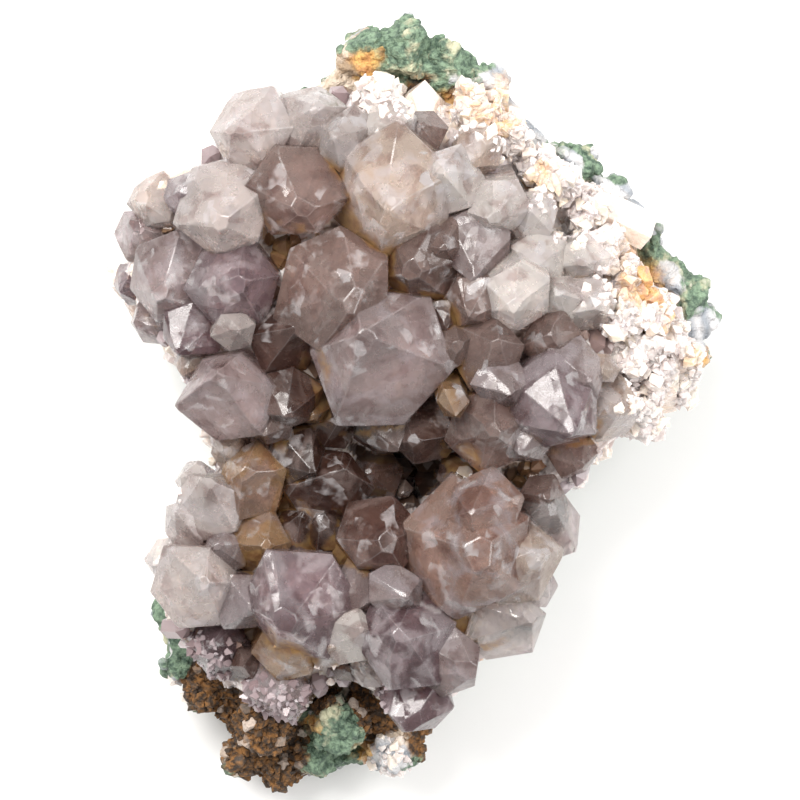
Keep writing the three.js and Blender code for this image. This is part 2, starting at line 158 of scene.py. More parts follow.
def panel(name, place, target, size, power, colour):
    """A soft square lamp that faces a point."""
    lamp = bpy.data.lights.new(name, "AREA")
    lamp.shape = "SQUARE"
    lamp.size = size
    lamp.energy = power
    lamp.color = colour
    lit = new_object(name, lamp)
    lit.location = place
    lit.rotation_euler = (Vector(target) - Vector(place)).to_track_quat("-Z", "Y").to_euler()


panel("window", (-0.24, 0.3, 0.58), (0, 0, 0.02), 0.4, 7.2, (1.0, 0.98, 0.95))
panel("fill", (0.45, 0.05, 0.5), (0, 0, 0.02), 0.5, 4.0, (1.0, 0.99, 0.98))

# Light that has crossed this many faces of crystal adds nothing that the eye can see
bpy.context.scene.cycles.max_bounces = 5
bpy.context.scene.cycles.transmission_bounces = 4
# A light tree pays where there are many lamps, not for two
bpy.context.scene.cycles.use_light_tree = False

world = bpy.data.worlds.new("room")
world.use_nodes = True
world.node_tree.nodes["Background"].inputs["Color"].default_value = (*SURROUND, 1)
world.node_tree.nodes["Background"].inputs["Strength"].default_value = SURROUND_STRENGTH
bpy.context.scene.world = world
bpy.context.scene.view_settings.view_transform = "Standard"

# %% [markdown]
# The part's own rules for its shapes come first, because the detailed pieces stand on the same numbers:
# a repeatable chance, heights of the ground between known points, and the reach of an outline. They are
# the same as in the part's source, in millimetres.

# %% Shape rules shared with the part
HEART = (-3, -3)
WALL_START = math.radians(78)
FACE_TILT = math.radians(51.8)
HEAD_DEPTH = 0.8
ROOT = 3
LEAST_LENGTH = 2.4
TIP_ASIDE = (0.25, 0.7)
UNEVEN_WIDTH = 0.24
CORNER_SWAY = 14
SHOULDERS = (0.6, 1.1)
NEARNESS = 3.5
AT_POINT = 0.01

CRUST_EDGE = [
    (-9.5, 39), (-4.5, 37), (1.5, 37.5), (6, 37), (10.5, 33.5), (13.5, 30), (18, 27.5), (21.5, 24.5),
    (24.5, 19.5), (27.5, 16), (30.5, 13), (33, 9.5), (33.5, 7), (31.5, 3), (29.5, 0.5), (29, -2.5),
    (26, -3), (22.5, -5.5), (20, -8.5), (17.5, -12), (18, -15), (17, -19), (16, -22), (14, -26),
    (12.5, -29), (9.5, -30), (6.5, -31.5), (4.5, -34), (2.5, -37.5), (-2, -38), (-6.5, -34),
    (-10.5, -34), (-13, -36.5), (-16, -38), (-20, -36), (-24.5, -34), (-28, -30.5), (-30.5, -26.5),
    (-31, -23.5), (-30.5, -19), (-29.5, -15.5), (-28.5, -11.5), (-25.5, -9), (-24, -6.5), (-25.5, -3),
    (-27, 1), (-29, 5), (-32, 8.5), (-34.5, 12.5), (-36, 17), (-34.5, 21.5), (-31, 26), (-27.5, 29),
    (-24.5, 32.5), (-22.5, 35.5), (-18.5, 37), (-14, 38),
]
CRUST_TOP = [
    (-20.5, 33.5, 26), (-14, 26, 30), (-3, 25, 31), (7.5, 27, 29), (-24, 23.5, 28), (-31, 15.5, 22),
    (-22, 14.5, 28), (-10.5, 14, 31), (-4, 5.5, 31), (-23, 0.5, 26), (-16, 7, 27), (0, 16, 30),
    (10, 12.5, 30), (17, 6.5, 29), (17, -0.5, 28), (8.5, -3, 27), (23, 0.5, 26), (29, 3, 23),
    (33, 9, 20), (26.5, 12.5, 25), (22, 22, 23), (14.5, 29.5, 24), (6, 36.5, 23), (-3, 37, 23),
    (-10, 38, 22), (-2, -8, 9), (-4.5, -4, 18), (2.5, -8, 15), (-10.5, -9, 19), (-14, -5.5, 22),
    (-20, -9, 22), (-25.5, -12, 20), (-27.5, -21.5, 21), (-19.5, -17, 20), (-14, -23.5, 25),
    (-5, -15, 22), (5, -17.5, 27), (13.5, -16, 24), (-2, -28, 25), (10, -27, 21), (1.5, -35.5, 19),
    (-15.5, -30.5, 21), (-24.5, -30.5, 17), (-17, -35.5, 17),
]
RIND_TOP = [
    (-10, 43, 18), (-2, 45, 17), (6, 40.5, 19), (12, 36, 19), (19, 30, 18), (26, 25, 17), (29, 20, 17),
    (33, 15, 15), (36, 10, 14), (34, 6, 16), (29, 2, 17), (23, -4, 16), (18, -9, 15), (15, -14, 14),
    (14, -20, 13), (11, -26, 12), (7, -31, 12), (3, -36, 13), (1, -42, 11), (-5, -43, 10),
    (-9.5, -43, 5), (-13, -44, 8), (-18, -46, 7), (-22, -42, 9), (-25, -37, 11), (-29, -33, 11),
    (-32, -26, 10), (-30, -21, 11), (-27, -14, 12), (-23, -7, 12), (-25, 1, 12), (-31, 11, 12),
    (-32, 21, 13), (-25, 29, 15), (-17, 37, 17), (-18, -40, 14), (-10, -39, 15), (-2, -40, 14),
    (-22, -33, 12), (-3, -3, 5), (-14, 10, 9), (8, 12, 9), (0, 28, 12), (-20, 22, 11), (18, 12, 12),
    (8, -12, 9), (-16, -16, 9), (-8, -27, 9),
]


def chance(a, b):
    """A repeatable number from 0 to 1 for shape a, face b."""
    wave = math.sin(a * 12.9898 + b * 78.233) * 43758.5453
    return wave - math.floor(wave)


def between(low, high, share):
    """The number at some share of the way from low to high."""
    return low + (high - low) * share


def height_at(heights, x, y):
    """Height at x, y between known heights, nearer ones counting more. x and y may be arrays."""
    weights = 0
    total = 0
    for px, py, pz in heights:
        weight = 1 / (((x - px) ** 2 + (y - py) ** 2) ** (NEARNESS / 2) + AT_POINT)
        weights = weights + weight
        total = total + weight * pz
    return total / weights


def reach(outline, angle):
    """Distance from the heart to an outline in one direction."""
    dx = math.cos(angle)
    dy = math.sin(angle)
    far = 0
    for (ax, ay), (bx, by) in zip(outline, outline[1:] + outline[:1]):
        ex = bx - ax
        ey = by - ay
        turn = dx * ey - dy * ex
        if turn == 0:
            continue
        along = ((ax - HEART[0]) * ey - (ay - HEART[1]) * ex) / turn
        share = ((ax - HEART[0]) * dy - (ay - HEART[1]) * dx) / turn
        if 0 <= share <= 1 and along > far:
            far = along
    return far


STEPS_ROUND = 1440


def reaches_of(outline):
    """Distances from the heart to an outline, all the way round."""
    return np.array([reach(outline, 2 * math.pi * step / STEPS_ROUND) for step in range(STEPS_ROUND)])


def edge_from_heart(reaches, x, y):
    """How far the outline lies from the heart in the directions of some places."""
    turn = (np.arctan2(y - HEART[1], x - HEART[0]) % (2 * math.pi)) / (2 * math.pi) * STEPS_ROUND
    before = np.floor(turn).astype(int) % STEPS_ROUND
    share = turn - np.floor(turn)
    return reaches[before] * (1 - share) + reaches[(before + 1) % STEPS_ROUND] * share


crust_reaches = reaches_of(CRUST_EDGE)

# %% [markdown]
# The crystals. Each row is one crystal of the part: place of its head, radius, height of its tip, lean,
# roll, and the finish that the photograph shows there. A quartz crystal is a six-sided prism with a
# pointed head, and real ones are never regular: more and less developed faces meet, and small extra
# faces cut the edges. So each one starts as the part's own thirteen corners, and then thin slices are
# cut from it. Cutting a convex solid keeps every face flat, which no amount of sculpting would.

# %% The crystals' rows
CRYSTALS = [
    (-20.5, 33.4, 4.9, 37, -0.3, 0.2, 5, "milky"), (-23.5, 23.6, 5.8, 39, -0.15, -0.1, 20, "milky"),
    (-14.3, 25.6, 5.3, 39.5, 0.05, -0.15, 0, "smoky"), (-13, 34.2, 4.3, 36, 0, 0.25, 15, "milky"),
    (-8.2, 31.6, 3.7, 38, 0.05, 0, 25, "milky"), (-2.8, 25, 7.2, 42, 0.05, -0.2, 22, "beige"),
    (-3.1, 33.6, 3.1, 37, 0.25, 0.2, 10, "white"), (3.8, 26.8, 4.2, 39, 0.1, 0.1, 12, "white"),
    (9.8, 23.2, 3.5, 37, 0.1, -0.25, 0, "white"), (6.8, 18.6, 4.5, 36.5, 0, -0.35, 20, "lilac"),
    (13.7, 22.8, 3.2, 34, 0.2, 0.1, 8, "white"), (14.6, 17.2, 3.4, 34.5, 0.15, -0.2, 25, "white"),
    (7.4, 31.2, 2.9, 35, 0.2, 0.3, 14, "beige"), (0.8, 32.8, 2.6, 34, 0.1, 0.1, 5, "smoky"),
    (-31.9, 24.8, 3.2, 29, -0.45, 0.35, 10, "milky"), (-34, 20.4, 3.1, 27, -0.55, 0, 0, "lilac"),
    (-28, 25.8, 2.9, 33, -0.3, 0.3, 18, "violet"), (-30.2, 15.2, 5.4, 33, -0.35, -0.1, 15, "lilac"),
    (-22, 14, 5.3, 38, 0, -0.2, 10, "violet"), (-35.2, 14.4, 2.6, 23, -0.6, -0.1, 5, "violet"),
    (-27.4, 8.4, 3.6, 32, -0.15, -0.45, 20, "plum"), (-32.4, 9.6, 2.6, 25, -0.5, -0.35, 0, "lilac"),
    (-22, 8.8, 2.5, 35, 0.05, -0.4, 12, "milky"), (-23, 0.6, 5.6, 37, -0.15, -0.15, 12, "lilac"),
    (-27.6, 4.8, 1.9, 28, -0.4, -0.3, 0, "beige"), (-16.1, 7.8, 4.2, 34.5, 0.1, -0.15, 0, "dusky"),
    (-15.2, 0.6, 3.5, 33, 0.15, -0.25, 20, "dusky"), (-12.7, 0, 2.2, 30, 0.35, -0.2, 0, "tea"),
    (-17.2, -2.8, 2.2, 31, 0.1, -0.4, 10, "smoky"), (-22.6, -6, 2.6, 27, -0.1, -0.2, 5, "beige"),
    (-10.4, 13.9, 6.8, 41.5, -0.05, -0.05, 24, "smoky"), (-4.3, 4.7, 8, 43.5, 0, -0.15, 50, "lilac"),
    (0.2, 16, 5.1, 38.5, 0, -0.25, 15, "smoky"), (3.2, 19.2, 3.4, 37.5, 0.2, 0, 0, "smoky"),
    (3.2, 10.2, 2.2, 35, 0.1, -0.1, 10, "dusky"), (4.2, 0, 1.8, 37, 0.1, -0.45, 0, "tea"),
    (4.1, 7, 2.4, 36.5, 0.1, 0, 20, "smoky"), (8.3, 5.8, 4.2, 38, 0.1, -0.1, 10, "smoky"),
    (6.5, 12.2, 3.3, 37, 0, -0.3, 0, "smoky"), (12, 12.4, 4.1, 39, 0.05, -0.45, 30, "white"),
    (17, 12.6, 2.9, 35, 0.1, 0, 0, "white"), (20.6, 11.2, 3.3, 34, 0.1, -0.35, 5, "white"),
    (16.3, 7.6, 3.4, 36, 0, 0.1, 12, "smoky"), (18.7, 4, 3.7, 36.5, 0.25, 0, 20, "lilac"),
    (16.1, -0.4, 5.5, 39.5, 0.1, -0.25, 30, "violet"), (9.8, 2.4, 3.2, 37.5, 0, -0.1, 0, "lilac"),
    (8.3, -3.6, 4.7, 37.5, -0.1, -0.3, 18, "smoky"), (13.4, -4.2, 3.2, 34, 0.05, -0.35, 0, "lilac"),
    (23.4, -1.2, 3.7, 33.5, 0.2, -0.3, 10, "beige"), (22.2, 4.4, 1.8, 34, 0.1, 0, 0, "beige"),
    (20, 17.2, 2.9, 33, 0.2, -0.1, 15, "white"), (18.8, -6, 2.9, 30, 0.2, -0.3, 5, "smoky"),
    (-14.2, -6.4, 3.4, 29, 0.2, -0.2, 10, "umber_shaded"), (-10.8, -10, 4.7, 29, 0.1, 0.1, 0, "umber_shaded"),
    (-4.9, -8.4, 3.2, 22, 0.1, 0.1, 12, "rose"), (-4, -3, 3.4, 31, 0, -0.5, 20, "umber_shaded"),
    (1.2, -4.2, 3.7, 32, 0, -0.45, 10, "dusky"), (-2.2, -7.8, 1.4, 17, 0, 0, 0, "beige"),
    (-1.9, -10.2, 1.2, 18, 0, 0.1, 8, "white"), (-10, -2.4, 2.9, 29, 0.1, -0.2, 0, "umber_shaded"),
    (5.3, -8.4, 2.9, 28, -0.1, 0.1, 10, "dusky"), (1.4, -9, 1.9, 17, -0.1, 0.1, 0, "smoky"),
    (-20.2, -9.4, 4.4, 30.5, -0.1, -0.1, 15, "tea"), (-19.2, -16.4, 3.5, 28.5, 0, -0.05, 0, "tea"),
    (-14.2, -15, 2.8, 26, 0.1, 0.1, 10, "umber_shaded"), (-10.8, -14.8, 3.1, 26.5, 0.1, 0.15, 5, "umber_shaded"),
    (-25.2, -12, 4.2, 29, -0.3, 0.1, 12, "milky"), (-27.4, -8.8, 2.2, 25, -0.4, 0.3, 0, "white"),
    (-28.6, -14.4, 2.9, 26, -0.45, 0.1, 10, "milky"), (-27.4, -22, 5.4, 31.5, -0.2, -0.1, 5, "milky"),
    (-23.2, -17.6, 2.6, 28, 0, 0, 20, "lilac"), (-21.1, -23.8, 3.5, 29.5, -0.05, -0.15, 0, "lilac"),
    (-13.8, -23.9, 6.4, 35.5, 0, -0.05, 0, "violet"), (-15.4, -29.4, 4, 29.5, 0, -0.3, 10, "tea"),
    (-10.8, -29.6, 2.4, 29, 0.05, -0.3, 0, "beige"), (-8.2, -28, 3.1, 31.5, 0.05, -0.15, 15, "white"),
    (-5, -15.2, 4.7, 32, 0.05, 0.15, 8, "dusky"), (-6.4, -22.2, 3.5, 30.5, 0.05, 0, 0, "lilac"),
    (-2.8, -22.2, 3.3, 33, 0.1, 0.05, 25, "lilac"), (-8.8, -18, 1.7, 26, 0, 0.1, 0, "tea"),
    (-24.4, -30, 3.6, 24, -0.2, -0.35, 10, "plum"), (-17.2, -35.2, 3.8, 25, -0.05, -0.45, 0, "lilac"),
    (-20.8, -31.6, 1.8, 24, 0, -0.3, 0, "dusky"), (-31, -18.6, 2.4, 23, -0.5, 0, 0, "white"),
    (4.8, -17.6, 7.7, 38, -0.1, -0.05, 32, "rose"), (7.9, -12, 4.4, 37.5, 0.05, 0.25, 15, "rose"),
    (11.6, -18.6, 5.3, 34, 0.15, 0, 10, "beige"), (16.1, -14.4, 4.1, 31, 0.35, 0.15, 20, "clear"),
    (15.2, -10.4, 2.6, 31, 0.2, 0.3, 0, "smoky"), (-1.2, -28.2, 5.5, 35, 0, -0.15, 10, "plum"),
    (3.6, -31.1, 4.1, 31.5, 0.2, -0.3, 20, "lilac"), (0.2, -36.4, 3.8, 28, 0.1, -0.4, 0, "plum"),
    (10.4, -26.8, 4.6, 30, 0.3, -0.25, 15, "clear"), (5, -26, 2.4, 29, 0.1, -0.1, 0, "tea"),
    (-5.8, -32, 2.4, 28.5, 0, -0.3, 10, "clear"), (14.6, -22.2, 2.6, 27, 0.4, -0.1, 0, "clear"),
    (-8.8, -31.8, 1.7, 26, 0, -0.2, 0, "dusky"),
]
print(len(CRYSTALS), "crystals")

# %% Convex solids from points and from planes
SAME_POINT = 0.004
SAME_FACE = math.radians(0.6)
NO_CORNER = 1e-5
ON_PLANE = 1e-3
CENTRE = Vector((0, 0, 0))


def hull(points):
    """A closed convex mesh round some points, flat faces joined."""
    shape = bmesh.new()
    for point in points:
        shape.verts.new(point)
    bmesh.ops.remove_doubles(shape, verts=shape.verts, dist=SAME_POINT)
    made = bmesh.ops.convex_hull(shape, input=shape.verts)
    inner = [v for v in made["geom_interior"] + made["geom_unused"] if isinstance(v, bmesh.types.BMVert)]
    bmesh.ops.delete(shape, geom=list(set(inner)), context="VERTS")
    bmesh.ops.dissolve_limit(shape, angle_limit=SAME_FACE, verts=shape.verts, edges=shape.edges)
    return shape


def inside_planes(planes, centre):
    """The convex solid inside some planes. Each plane is a direction and how far out it lies."""
    normals = np.array([normal for normal, _ in planes], float)
    fars = np.array([far for _, far in planes], float)
    out = fars - normals @ np.array(centre)
    dual = bmesh.new()
    numbers = {dual.verts.new(normal / far): k for k, (normal, far) in enumerate(zip(normals, out))}
    bmesh.ops.convex_hull(dual, input=dual.verts)
    triples = np.array([[numbers[v] for v in face.verts] for face in dual.faces])
    dual.free()
    matrices = normals[triples]
    meeting = np.abs(np.linalg.det(matrices)) > NO_CORNER
    points = np.linalg.solve(matrices[meeting], fars[triples[meeting]][..., None])[..., 0]
    within = (points @ normals.T <= fars + ON_PLANE).all(axis=1)
    return hull([Vector(point) for point in points[within]])


def planes_of(shape):
    """The planes of a convex mesh's faces."""
    shape.normal_update()
    return [(face.normal.copy(), face.normal.dot(face.calc_center_median())) for face in shape.faces]


FLAT_ANGLE = math.radians(22)


def edge_planes(shape, width):
    """Planes that take the sharper edges off a convex mesh and leave a worn strip of some width."""
    shape.normal_update()
    found = []
    for edge in shape.edges:
        if len(edge.link_faces) != 2:
            continue
        first, second = (face.normal for face in edge.link_faces)
        if first.angle(second) < FLAT_ANGLE:
            continue
        normal = (first + second).normalized()
        depth = 0.5 * width * math.tan(0.5 * first.angle(second))
        found.append((normal, normal.dot(edge.verts[0].co) - min(depth, width)))
    return found


# %% One crystal, cut from its corners
SMALL_CUTS = 12
CUT_DEPTH = (0.026, 0.104)
CUT_TILT = (math.radians(14), math.radians(62))
CUT_SPREAD = 2.4
BLUNT_DEPTH = (0.08, 0.28)
BLUNT_TILT = 0.25
WORN_EDGE = 0.03
LONGEST_EDGE = 0.65
HIDDEN_DEPTH = 2
HIDDEN_COARSE = 5
SAME_WAY = 0.9998


def crystal_corners(row, index):
    """The thirteen corners of one crystal and its axis, as in the part's source, in millimetres."""
    x, y, radius, top, lean_x, lean_y, roll = row[:7]
    length = max(LEAST_LENGTH * radius, top - height_at(CRUST_TOP, x, y) + ROOT)
    aside = radius * between(*TIP_ASIDE, chance(index, 20))
    direction = 2 * math.pi * chance(index, 21)
    points = [Vector((aside * math.cos(direction), aside * math.sin(direction), 0))]
    for face in range(6):
        angle = math.radians(roll + 60 * face + CORNER_SWAY * (chance(index, face) - 0.5))
        out = radius * (1 + UNEVEN_WIDTH * chance(index, face + 10))
        side = (out * math.cos(angle), out * math.sin(angle))
        depth = radius * math.tan(FACE_TILT) * between(*SHOULDERS, chance(index, face + 30))
        points.append(Vector((*side, -depth)))
        points.append(Vector((*side, -length)))
    axis = Vector((lean_x, lean_y, 1)).normalized()
    turn = Vector((0, 0, 1)).rotation_difference(axis)
    points = [turn @ point for point in points]
    head = axis * (-HEAD_DEPTH * radius)
    lift = top - max(point.z for point in points)
    place = Vector((x - head.x, y - head.y, lift))
    return [point + place for point in points], axis


def towards(axis, tilt, angle):
    """A direction at some tilt from an axis, turned round it."""
    across = axis.orthogonal().normalized()
    beside = axis.cross(across)
    ring = across * math.cos(angle) + beside * math.sin(angle)
    return (axis * math.cos(tilt) + ring * math.sin(tilt)).normalized()


def slice_plane(points, normal, depth):
    """The plane that slices some depth off a solid on the side that a direction points to."""
    return normal, max(point.dot(normal) for point in points) - depth


def cut_crystal(row, index):
    """One finished crystal as a mesh in millimetres, its axis and the directions of its worn edges."""
    points, axis = crystal_corners(row, index)
    radius = row[2]
    centre = sum(points, Vector()) / len(points)
    planes = planes_of(hull(points))
    blunt = towards(axis, BLUNT_TILT * chance(index, 50), 2 * math.pi * chance(index, 51))
    planes.append(slice_plane(points, blunt, radius * between(*BLUNT_DEPTH, chance(index, 52))))
    for cut in range(SMALL_CUTS):
        tilt = between(*CUT_TILT, chance(index, 60 + cut))
        angle = 2 * math.pi * (CUT_SPREAD * cut + 0.7 * chance(index, 80 + cut)) / SMALL_CUTS
        depth = radius * between(*CUT_DEPTH, chance(index, 100 + cut))
        planes.append(slice_plane(points, towards(axis, tilt, angle), depth))
    sharp = inside_planes(planes, centre)
    worn = edge_planes(sharp, WORN_EDGE * radius)
    return inside_planes(planes + worn, centre), axis, np.array([normal for normal, _ in worn])


def divided(shape, longest, worn):
    """Halves the long edges of a closed mesh, but leaves it coarse where it lies under its neighbours.

    Returns the points, the triangles, and for each triangle its facet and whether that is a worn edge."""
    facet = shape.faces.layers.int.new("facet")
    for number, face in enumerate(shape.faces):
        face[facet] = number
    bmesh.ops.triangulate(shape, faces=shape.faces)
    shape.verts.index_update()
    shape.normal_update()
    points = [v.co.copy() for v in shape.verts]
    triangles = [[v.index for v in face.verts] for face in shape.faces]
    marks = [(face[facet], bool((worn @ np.array(face.normal)).max() > SAME_WAY)) for face in shape.faces]
    while True:
        middles = {}
        hidden = (buried(np.array([point[:] for point in points]), HIDDEN_DEPTH) > 0).tolist()
        for corners in triangles:
            most = longest * (HIDDEN_COARSE if all(hidden[k] for k in corners) else 1)
            for a, b in zip(corners, corners[1:] + corners[:1]):
                key = (min(a, b), max(a, b))
                if key not in middles and (points[a] - points[b]).length > most:
                    middles[key] = len(points)
                    points.append((points[a] + points[b]) / 2)
        if not middles:
            return points, triangles, marks
        parts = [split(corners, middles) for corners in triangles]
        marks = [mark for mark, some in zip(marks, parts) for _ in some]
        triangles = [part for some in parts for part in some]


def split(corners, middles):
    """One triangle cut at the middles of its long edges."""
    a, b, c = corners
    ab, bc, ca = (middles.get((min(p, q), max(p, q))) for p, q in ((a, b), (b, c), (c, a)))
    count = sum(m is not None for m in (ab, bc, ca))
    if count == 0:
        return [corners]
    if count == 3:
        return [[a, ab, ca], [ab, b, bc], [ca, bc, c], [ab, bc, ca]]
    if ab is None or (count == 2 and bc is None):
        return split([b, c, a], middles)
    if count == 1:
        return [[a, ab, c], [ab, b, c]]
    return [[ab, b, bc], [a, ab, bc], [a, bc, c]]


cut_crystals = [cut_crystal(row, index) for index, row in enumerate(CRYSTALS)]
print("faces of one crystal:", len(cut_crystals[31][0].faces))

# %% [markdown]
# Where the crystals stand close, iron water collected, so the deeper a place lies between its neighbours,
# the browner it is; the finishes also paint it darker there, as shade. A map of the tops, seen from above,
# tells how deep that is. It is the same for every piece, so stains and painted shade run across crystals,
# crust and grains without a break.

# %% A map of the tops and of the shelter between them
CELL = 0.5
MAP_LOW = np.array([-42.0, -52.0])
MAP_SIZE = (168, 208)
NEIGHBOURHOOD = 3.5
SHELTER_DEPTH = 7.0
CLEFT_WIDTH = 1.2
CLEFT_DEPTH = 1.6
UPRIGHT = 0.02
NOWHERE = 1e3

columns, rows = (low + CELL * np.arange(count) for low, count in zip(MAP_LOW, MAP_SIZE))
grid_x, grid_y = np.meshgrid(columns, rows, indexing="ij")


def crystal_tops(shape):
    """Height of one convex mesh over the map, and nothing beside it."""
    top = np.full(grid_x.shape, NOWHERE)
    bottom = -top
    inside = np.ones(grid_x.shape, bool)
    for face in shape.faces:
        n = face.normal
        far = n.dot(face.verts[0].co)
        if n.z > UPRIGHT:
            top = np.minimum(top, (far - n.x * grid_x - n.y * grid_y) / n.z)
        elif n.z < -UPRIGHT:
            bottom = np.maximum(bottom, (far - n.x * grid_x - n.y * grid_y) / n.z)
        else:
            inside &= n.x * grid_x + n.y * grid_y <= far
    return np.where(inside & (top > bottom), top, -NOWHERE)


def blurred(field, radius):
    """A field averaged over a square neighbourhood, twice, which is close to a round soft one."""
    steps = max(1, int(round(radius / CELL)))
    for _ in range(2):
        for axis in (0, 1):
            first, last = (np.repeat(field.take([end], axis), steps, axis) for end in (0, -1))
            padded = np.concatenate([first, field, last], axis)
            sums = np.cumsum(padded, axis)
            ahead = sums.take(range(2 * steps, sums.shape[axis]), axis)
            behind = sums.take(range(0, sums.shape[axis] - 2 * steps), axis)
            field = (ahead - behind) / (2 * steps)
    return field


def looked_up(field, x, y):
    """A map's value at places in millimetres, read between its cells."""
    u = np.clip((x - MAP_LOW[0]) / CELL, 0, MAP_SIZE[0] - 1.001)
    v = np.clip((y - MAP_LOW[1]) / CELL, 0, MAP_SIZE[1] - 1.001)
    i = u.astype(int)
    j = v.astype(int)
    a = u - i
    b = v - j
    low = field[i, j] * (1 - a) + field[i + 1, j] * a
    high = field[i, j + 1] * (1 - a) + field[i + 1, j + 1] * a
    return low * (1 - b) + high * b


beyond_edge = np.hypot(grid_x - HEART[0], grid_y - HEART[1]) > edge_from_heart(crust_reaches, grid_x, grid_y)
tops = np.where(beyond_edge, 0, height_at(CRUST_TOP, grid_x, grid_y))
for shape, _, _ in cut_crystals:
    tops = np.maximum(tops, crystal_tops(shape))
around = blurred(tops, NEIGHBOURHOOD)
beside = blurred(tops, CLEFT_WIDTH)


def shelter_of(places):
    """How deep places lie between their neighbours, from 0 on top to 1 deep down."""
    depth = looked_up(around, places[:, 0], places[:, 1]) - places[:, 2]
    return np.clip(depth / SHELTER_DEPTH, 0, 1)


def cleft_of(places):
    """How deep places lie in the narrow clefts between neighbours, from 0 to 1."""
    depth = looked_up(beside, places[:, 0], places[:, 1]) - places[:, 2]
    return np.clip(depth / CLEFT_DEPTH, 0, 1)


def buried(places, margin=0.5):
    """1 for places under the tops, where nothing could settle, else 0."""
    depth = looked_up(tops, places[:, 0], places[:, 1]) - places[:, 2]
    return np.clip((depth - margin) / 1.0, 0, 1)


print("highest top in mm:", round(float(tops.max()), 1))

# %% [markdown]
# Stains and rock kinds are placed where the photograph shows them: yellow iron on the upper slope, brown in
# the clefts, brown iron rock at the lower end, blue-grey agate and green skin round the rim. Each spot is x,
# y, radius in millimetres and strength.

# %% Spots of iron, brown rock, agate and green
IRON_SPOTS = [
    (-6.2, 41.4, 2.6, 0.8), (8.3, 35.7, 5, 0.8), (9.8, 33.4, 3.5, 1), (14.8, 27.4, 2.8, 0.9),
    (26.6, 14, 5, 0.9), (22.5, 15.5, 3.5, 0.6), (33.5, 6, 2.2, 0.8), (29.5, 11, 3.5, 0.7),
    (24, 18.5, 2.6, 0.7), (5, 37, 3, 0.8), (30.5, 1, 2, 0.6), (17, 24.5, 2, 0.7),
    (-12.6, -38.6, 1.3, 0.9), (-6.4, -42.2, 1.5, 0.9), (-10, 28, 1.7, 0.9), (-10, 24.5, 1.7, 0.9),
    (-17, 20, 2.5, 0.8), (-12.5, 20, 3, 1), (-9, 20.5, 2.4, 0.9), (-5, 17.8, 2.6, 1),
    (-3.6, 14.6, 2.2, 0.9), (-12.7, 3.6, 2.4, 0.9), (1.8, 12, 2.2, 0.9), (4.4, 3.3, 3, 0.8),
    (20.9, -2.4, 3, 0.7), (-14.8, -13, 4.5, 0.9), (-18.4, -18.2, 3.4, 0.9), (8, -28.8, 4.2, 0.9),
    (8.9, -12, 2.2, 0.6), (-20.2, -12, 3, 0.8), (-15, -15.5, 3.5, 0.9), (-8.6, -17.4, 3.4, 0.8),
    (-14.2, -29.8, 4.2, 0.6), (-13, 0.4, 2.8, 0.9), (3.2, 10, 2.4, 0.9), (6.2, -8.4, 3.6, 0.9),
    (-14.2, -6.6, 3.4, 0.9), (-2.5, -8.5, 6, 0.8),
]
BROWN_SPOTS = [
    (-18.6, -40.8, 6.5, 1), (-22, -38, 4.5, 1), (-18, -45.5, 4.4, 1), (-5.4, -37, 4.2, 1),
    (-12, -34.5, 3.4, 0.9), (-26, -34.5, 4, 0.9), (0.5, -41, 3.2, 0.9), (0, 37.5, 3.4, 0.6),
    (-5, 38.8, 2.4, 0.5), (-3.6, -43, 2, 0.4),
]
AGATE_SPOTS = [
    (10.7, 37.4, 4.6, 1), (13.5, 34.5, 4, 1), (26, 23.4, 4.2, 1), (30, 14.5, 3.4, 0.8), (35, 9.4, 3, 1),
    (-29, -34.6, 2.2, 0.8), (-3.7, -43, 3.2, 1), (18, 28.6, 3, 0.8), (5, 38.5, 3, 0.6),
    (22.5, 26.5, 2.4, 0.8),
]
GREEN_SPOTS = [
    (-1.6, 43.8, 6, 1), (3.2, 42, 5, 1), (7, 40, 4, 1), (-6.5, 43.5, 3, 0.8), (16.5, 31.2, 4, 1),
    (20, 29.6, 3.4, 1), (23.8, 25.6, 3.6, 1), (28.4, 20.4, 4.4, 1), (31.4, 16.6, 4.6, 1),
    (34.4, 12, 4.6, 1), (-31, -26.6, 5, 1), (-30, -32, 4.6, 1), (-9.8, -40.4, 5.2, 1.4),
    (-1, -44.2, 1.8, 1), (-25, -38, 2.4, 0.5),
]

BROKEN_SPOTS = [
    (16, 27, 5, 1), (20, 23, 4.4, 1), (22.5, 18.5, 4.6, 1), (25.5, 14.5, 4.6, 1), (28.5, 10, 4.6, 1),
    (27, 6, 4, 1), (31, 6, 4, 1), (29, 3, 4, 1), (32, 3, 3, 1), (27, -1, 3, 1), (7, 35.5, 4.4, 1),
    (11, 32.5, 4.4, 1), (14, 29.5, 4.4, 1), (-4.5, 37.5, 3, 0.8), (-24, -35, 4, 1), (-16, -38, 3, 1),
    (-5, -35, 2.4, 1), (1, -37.5, 2.4, 1),
]


def spotted(spots, places, wander=1.2, seed=0.0):
    """How strongly places lie in some spots, whose edges wander."""
    shifted = places.copy()
    for k in range(len(places)):
        x, y, z = places[k]
        shifted[k, 0] += wander * noise.noise((x * 0.35 + seed, y * 0.35, z * 0.35))
        shifted[k, 1] += wander * noise.noise((x * 0.35, y * 0.35 + seed + 9, z * 0.35))
    strength = np.zeros(len(places))
    for x, y, radius, amount in spots:
        apart = np.hypot(shifted[:, 0] - x, shifted[:, 1] - y) / radius
        strength = np.maximum(strength, amount * np.clip(1.35 - apart, 0, 1))
    return strength


# %% [markdown]
# Colours are written as they look on a screen, from 0 to 255, and turned into the linear values that
# Blender paints with.

# %% Colours


def paint(red, green, blue):
    """A screen colour as Blender's linear one."""
    shares = [c / 255 for c in (red, green, blue)]
    return tuple(s / 12.92 if s <= 0.04045 else ((s + 0.055) / 1.055) ** 2.4 for s in shares)


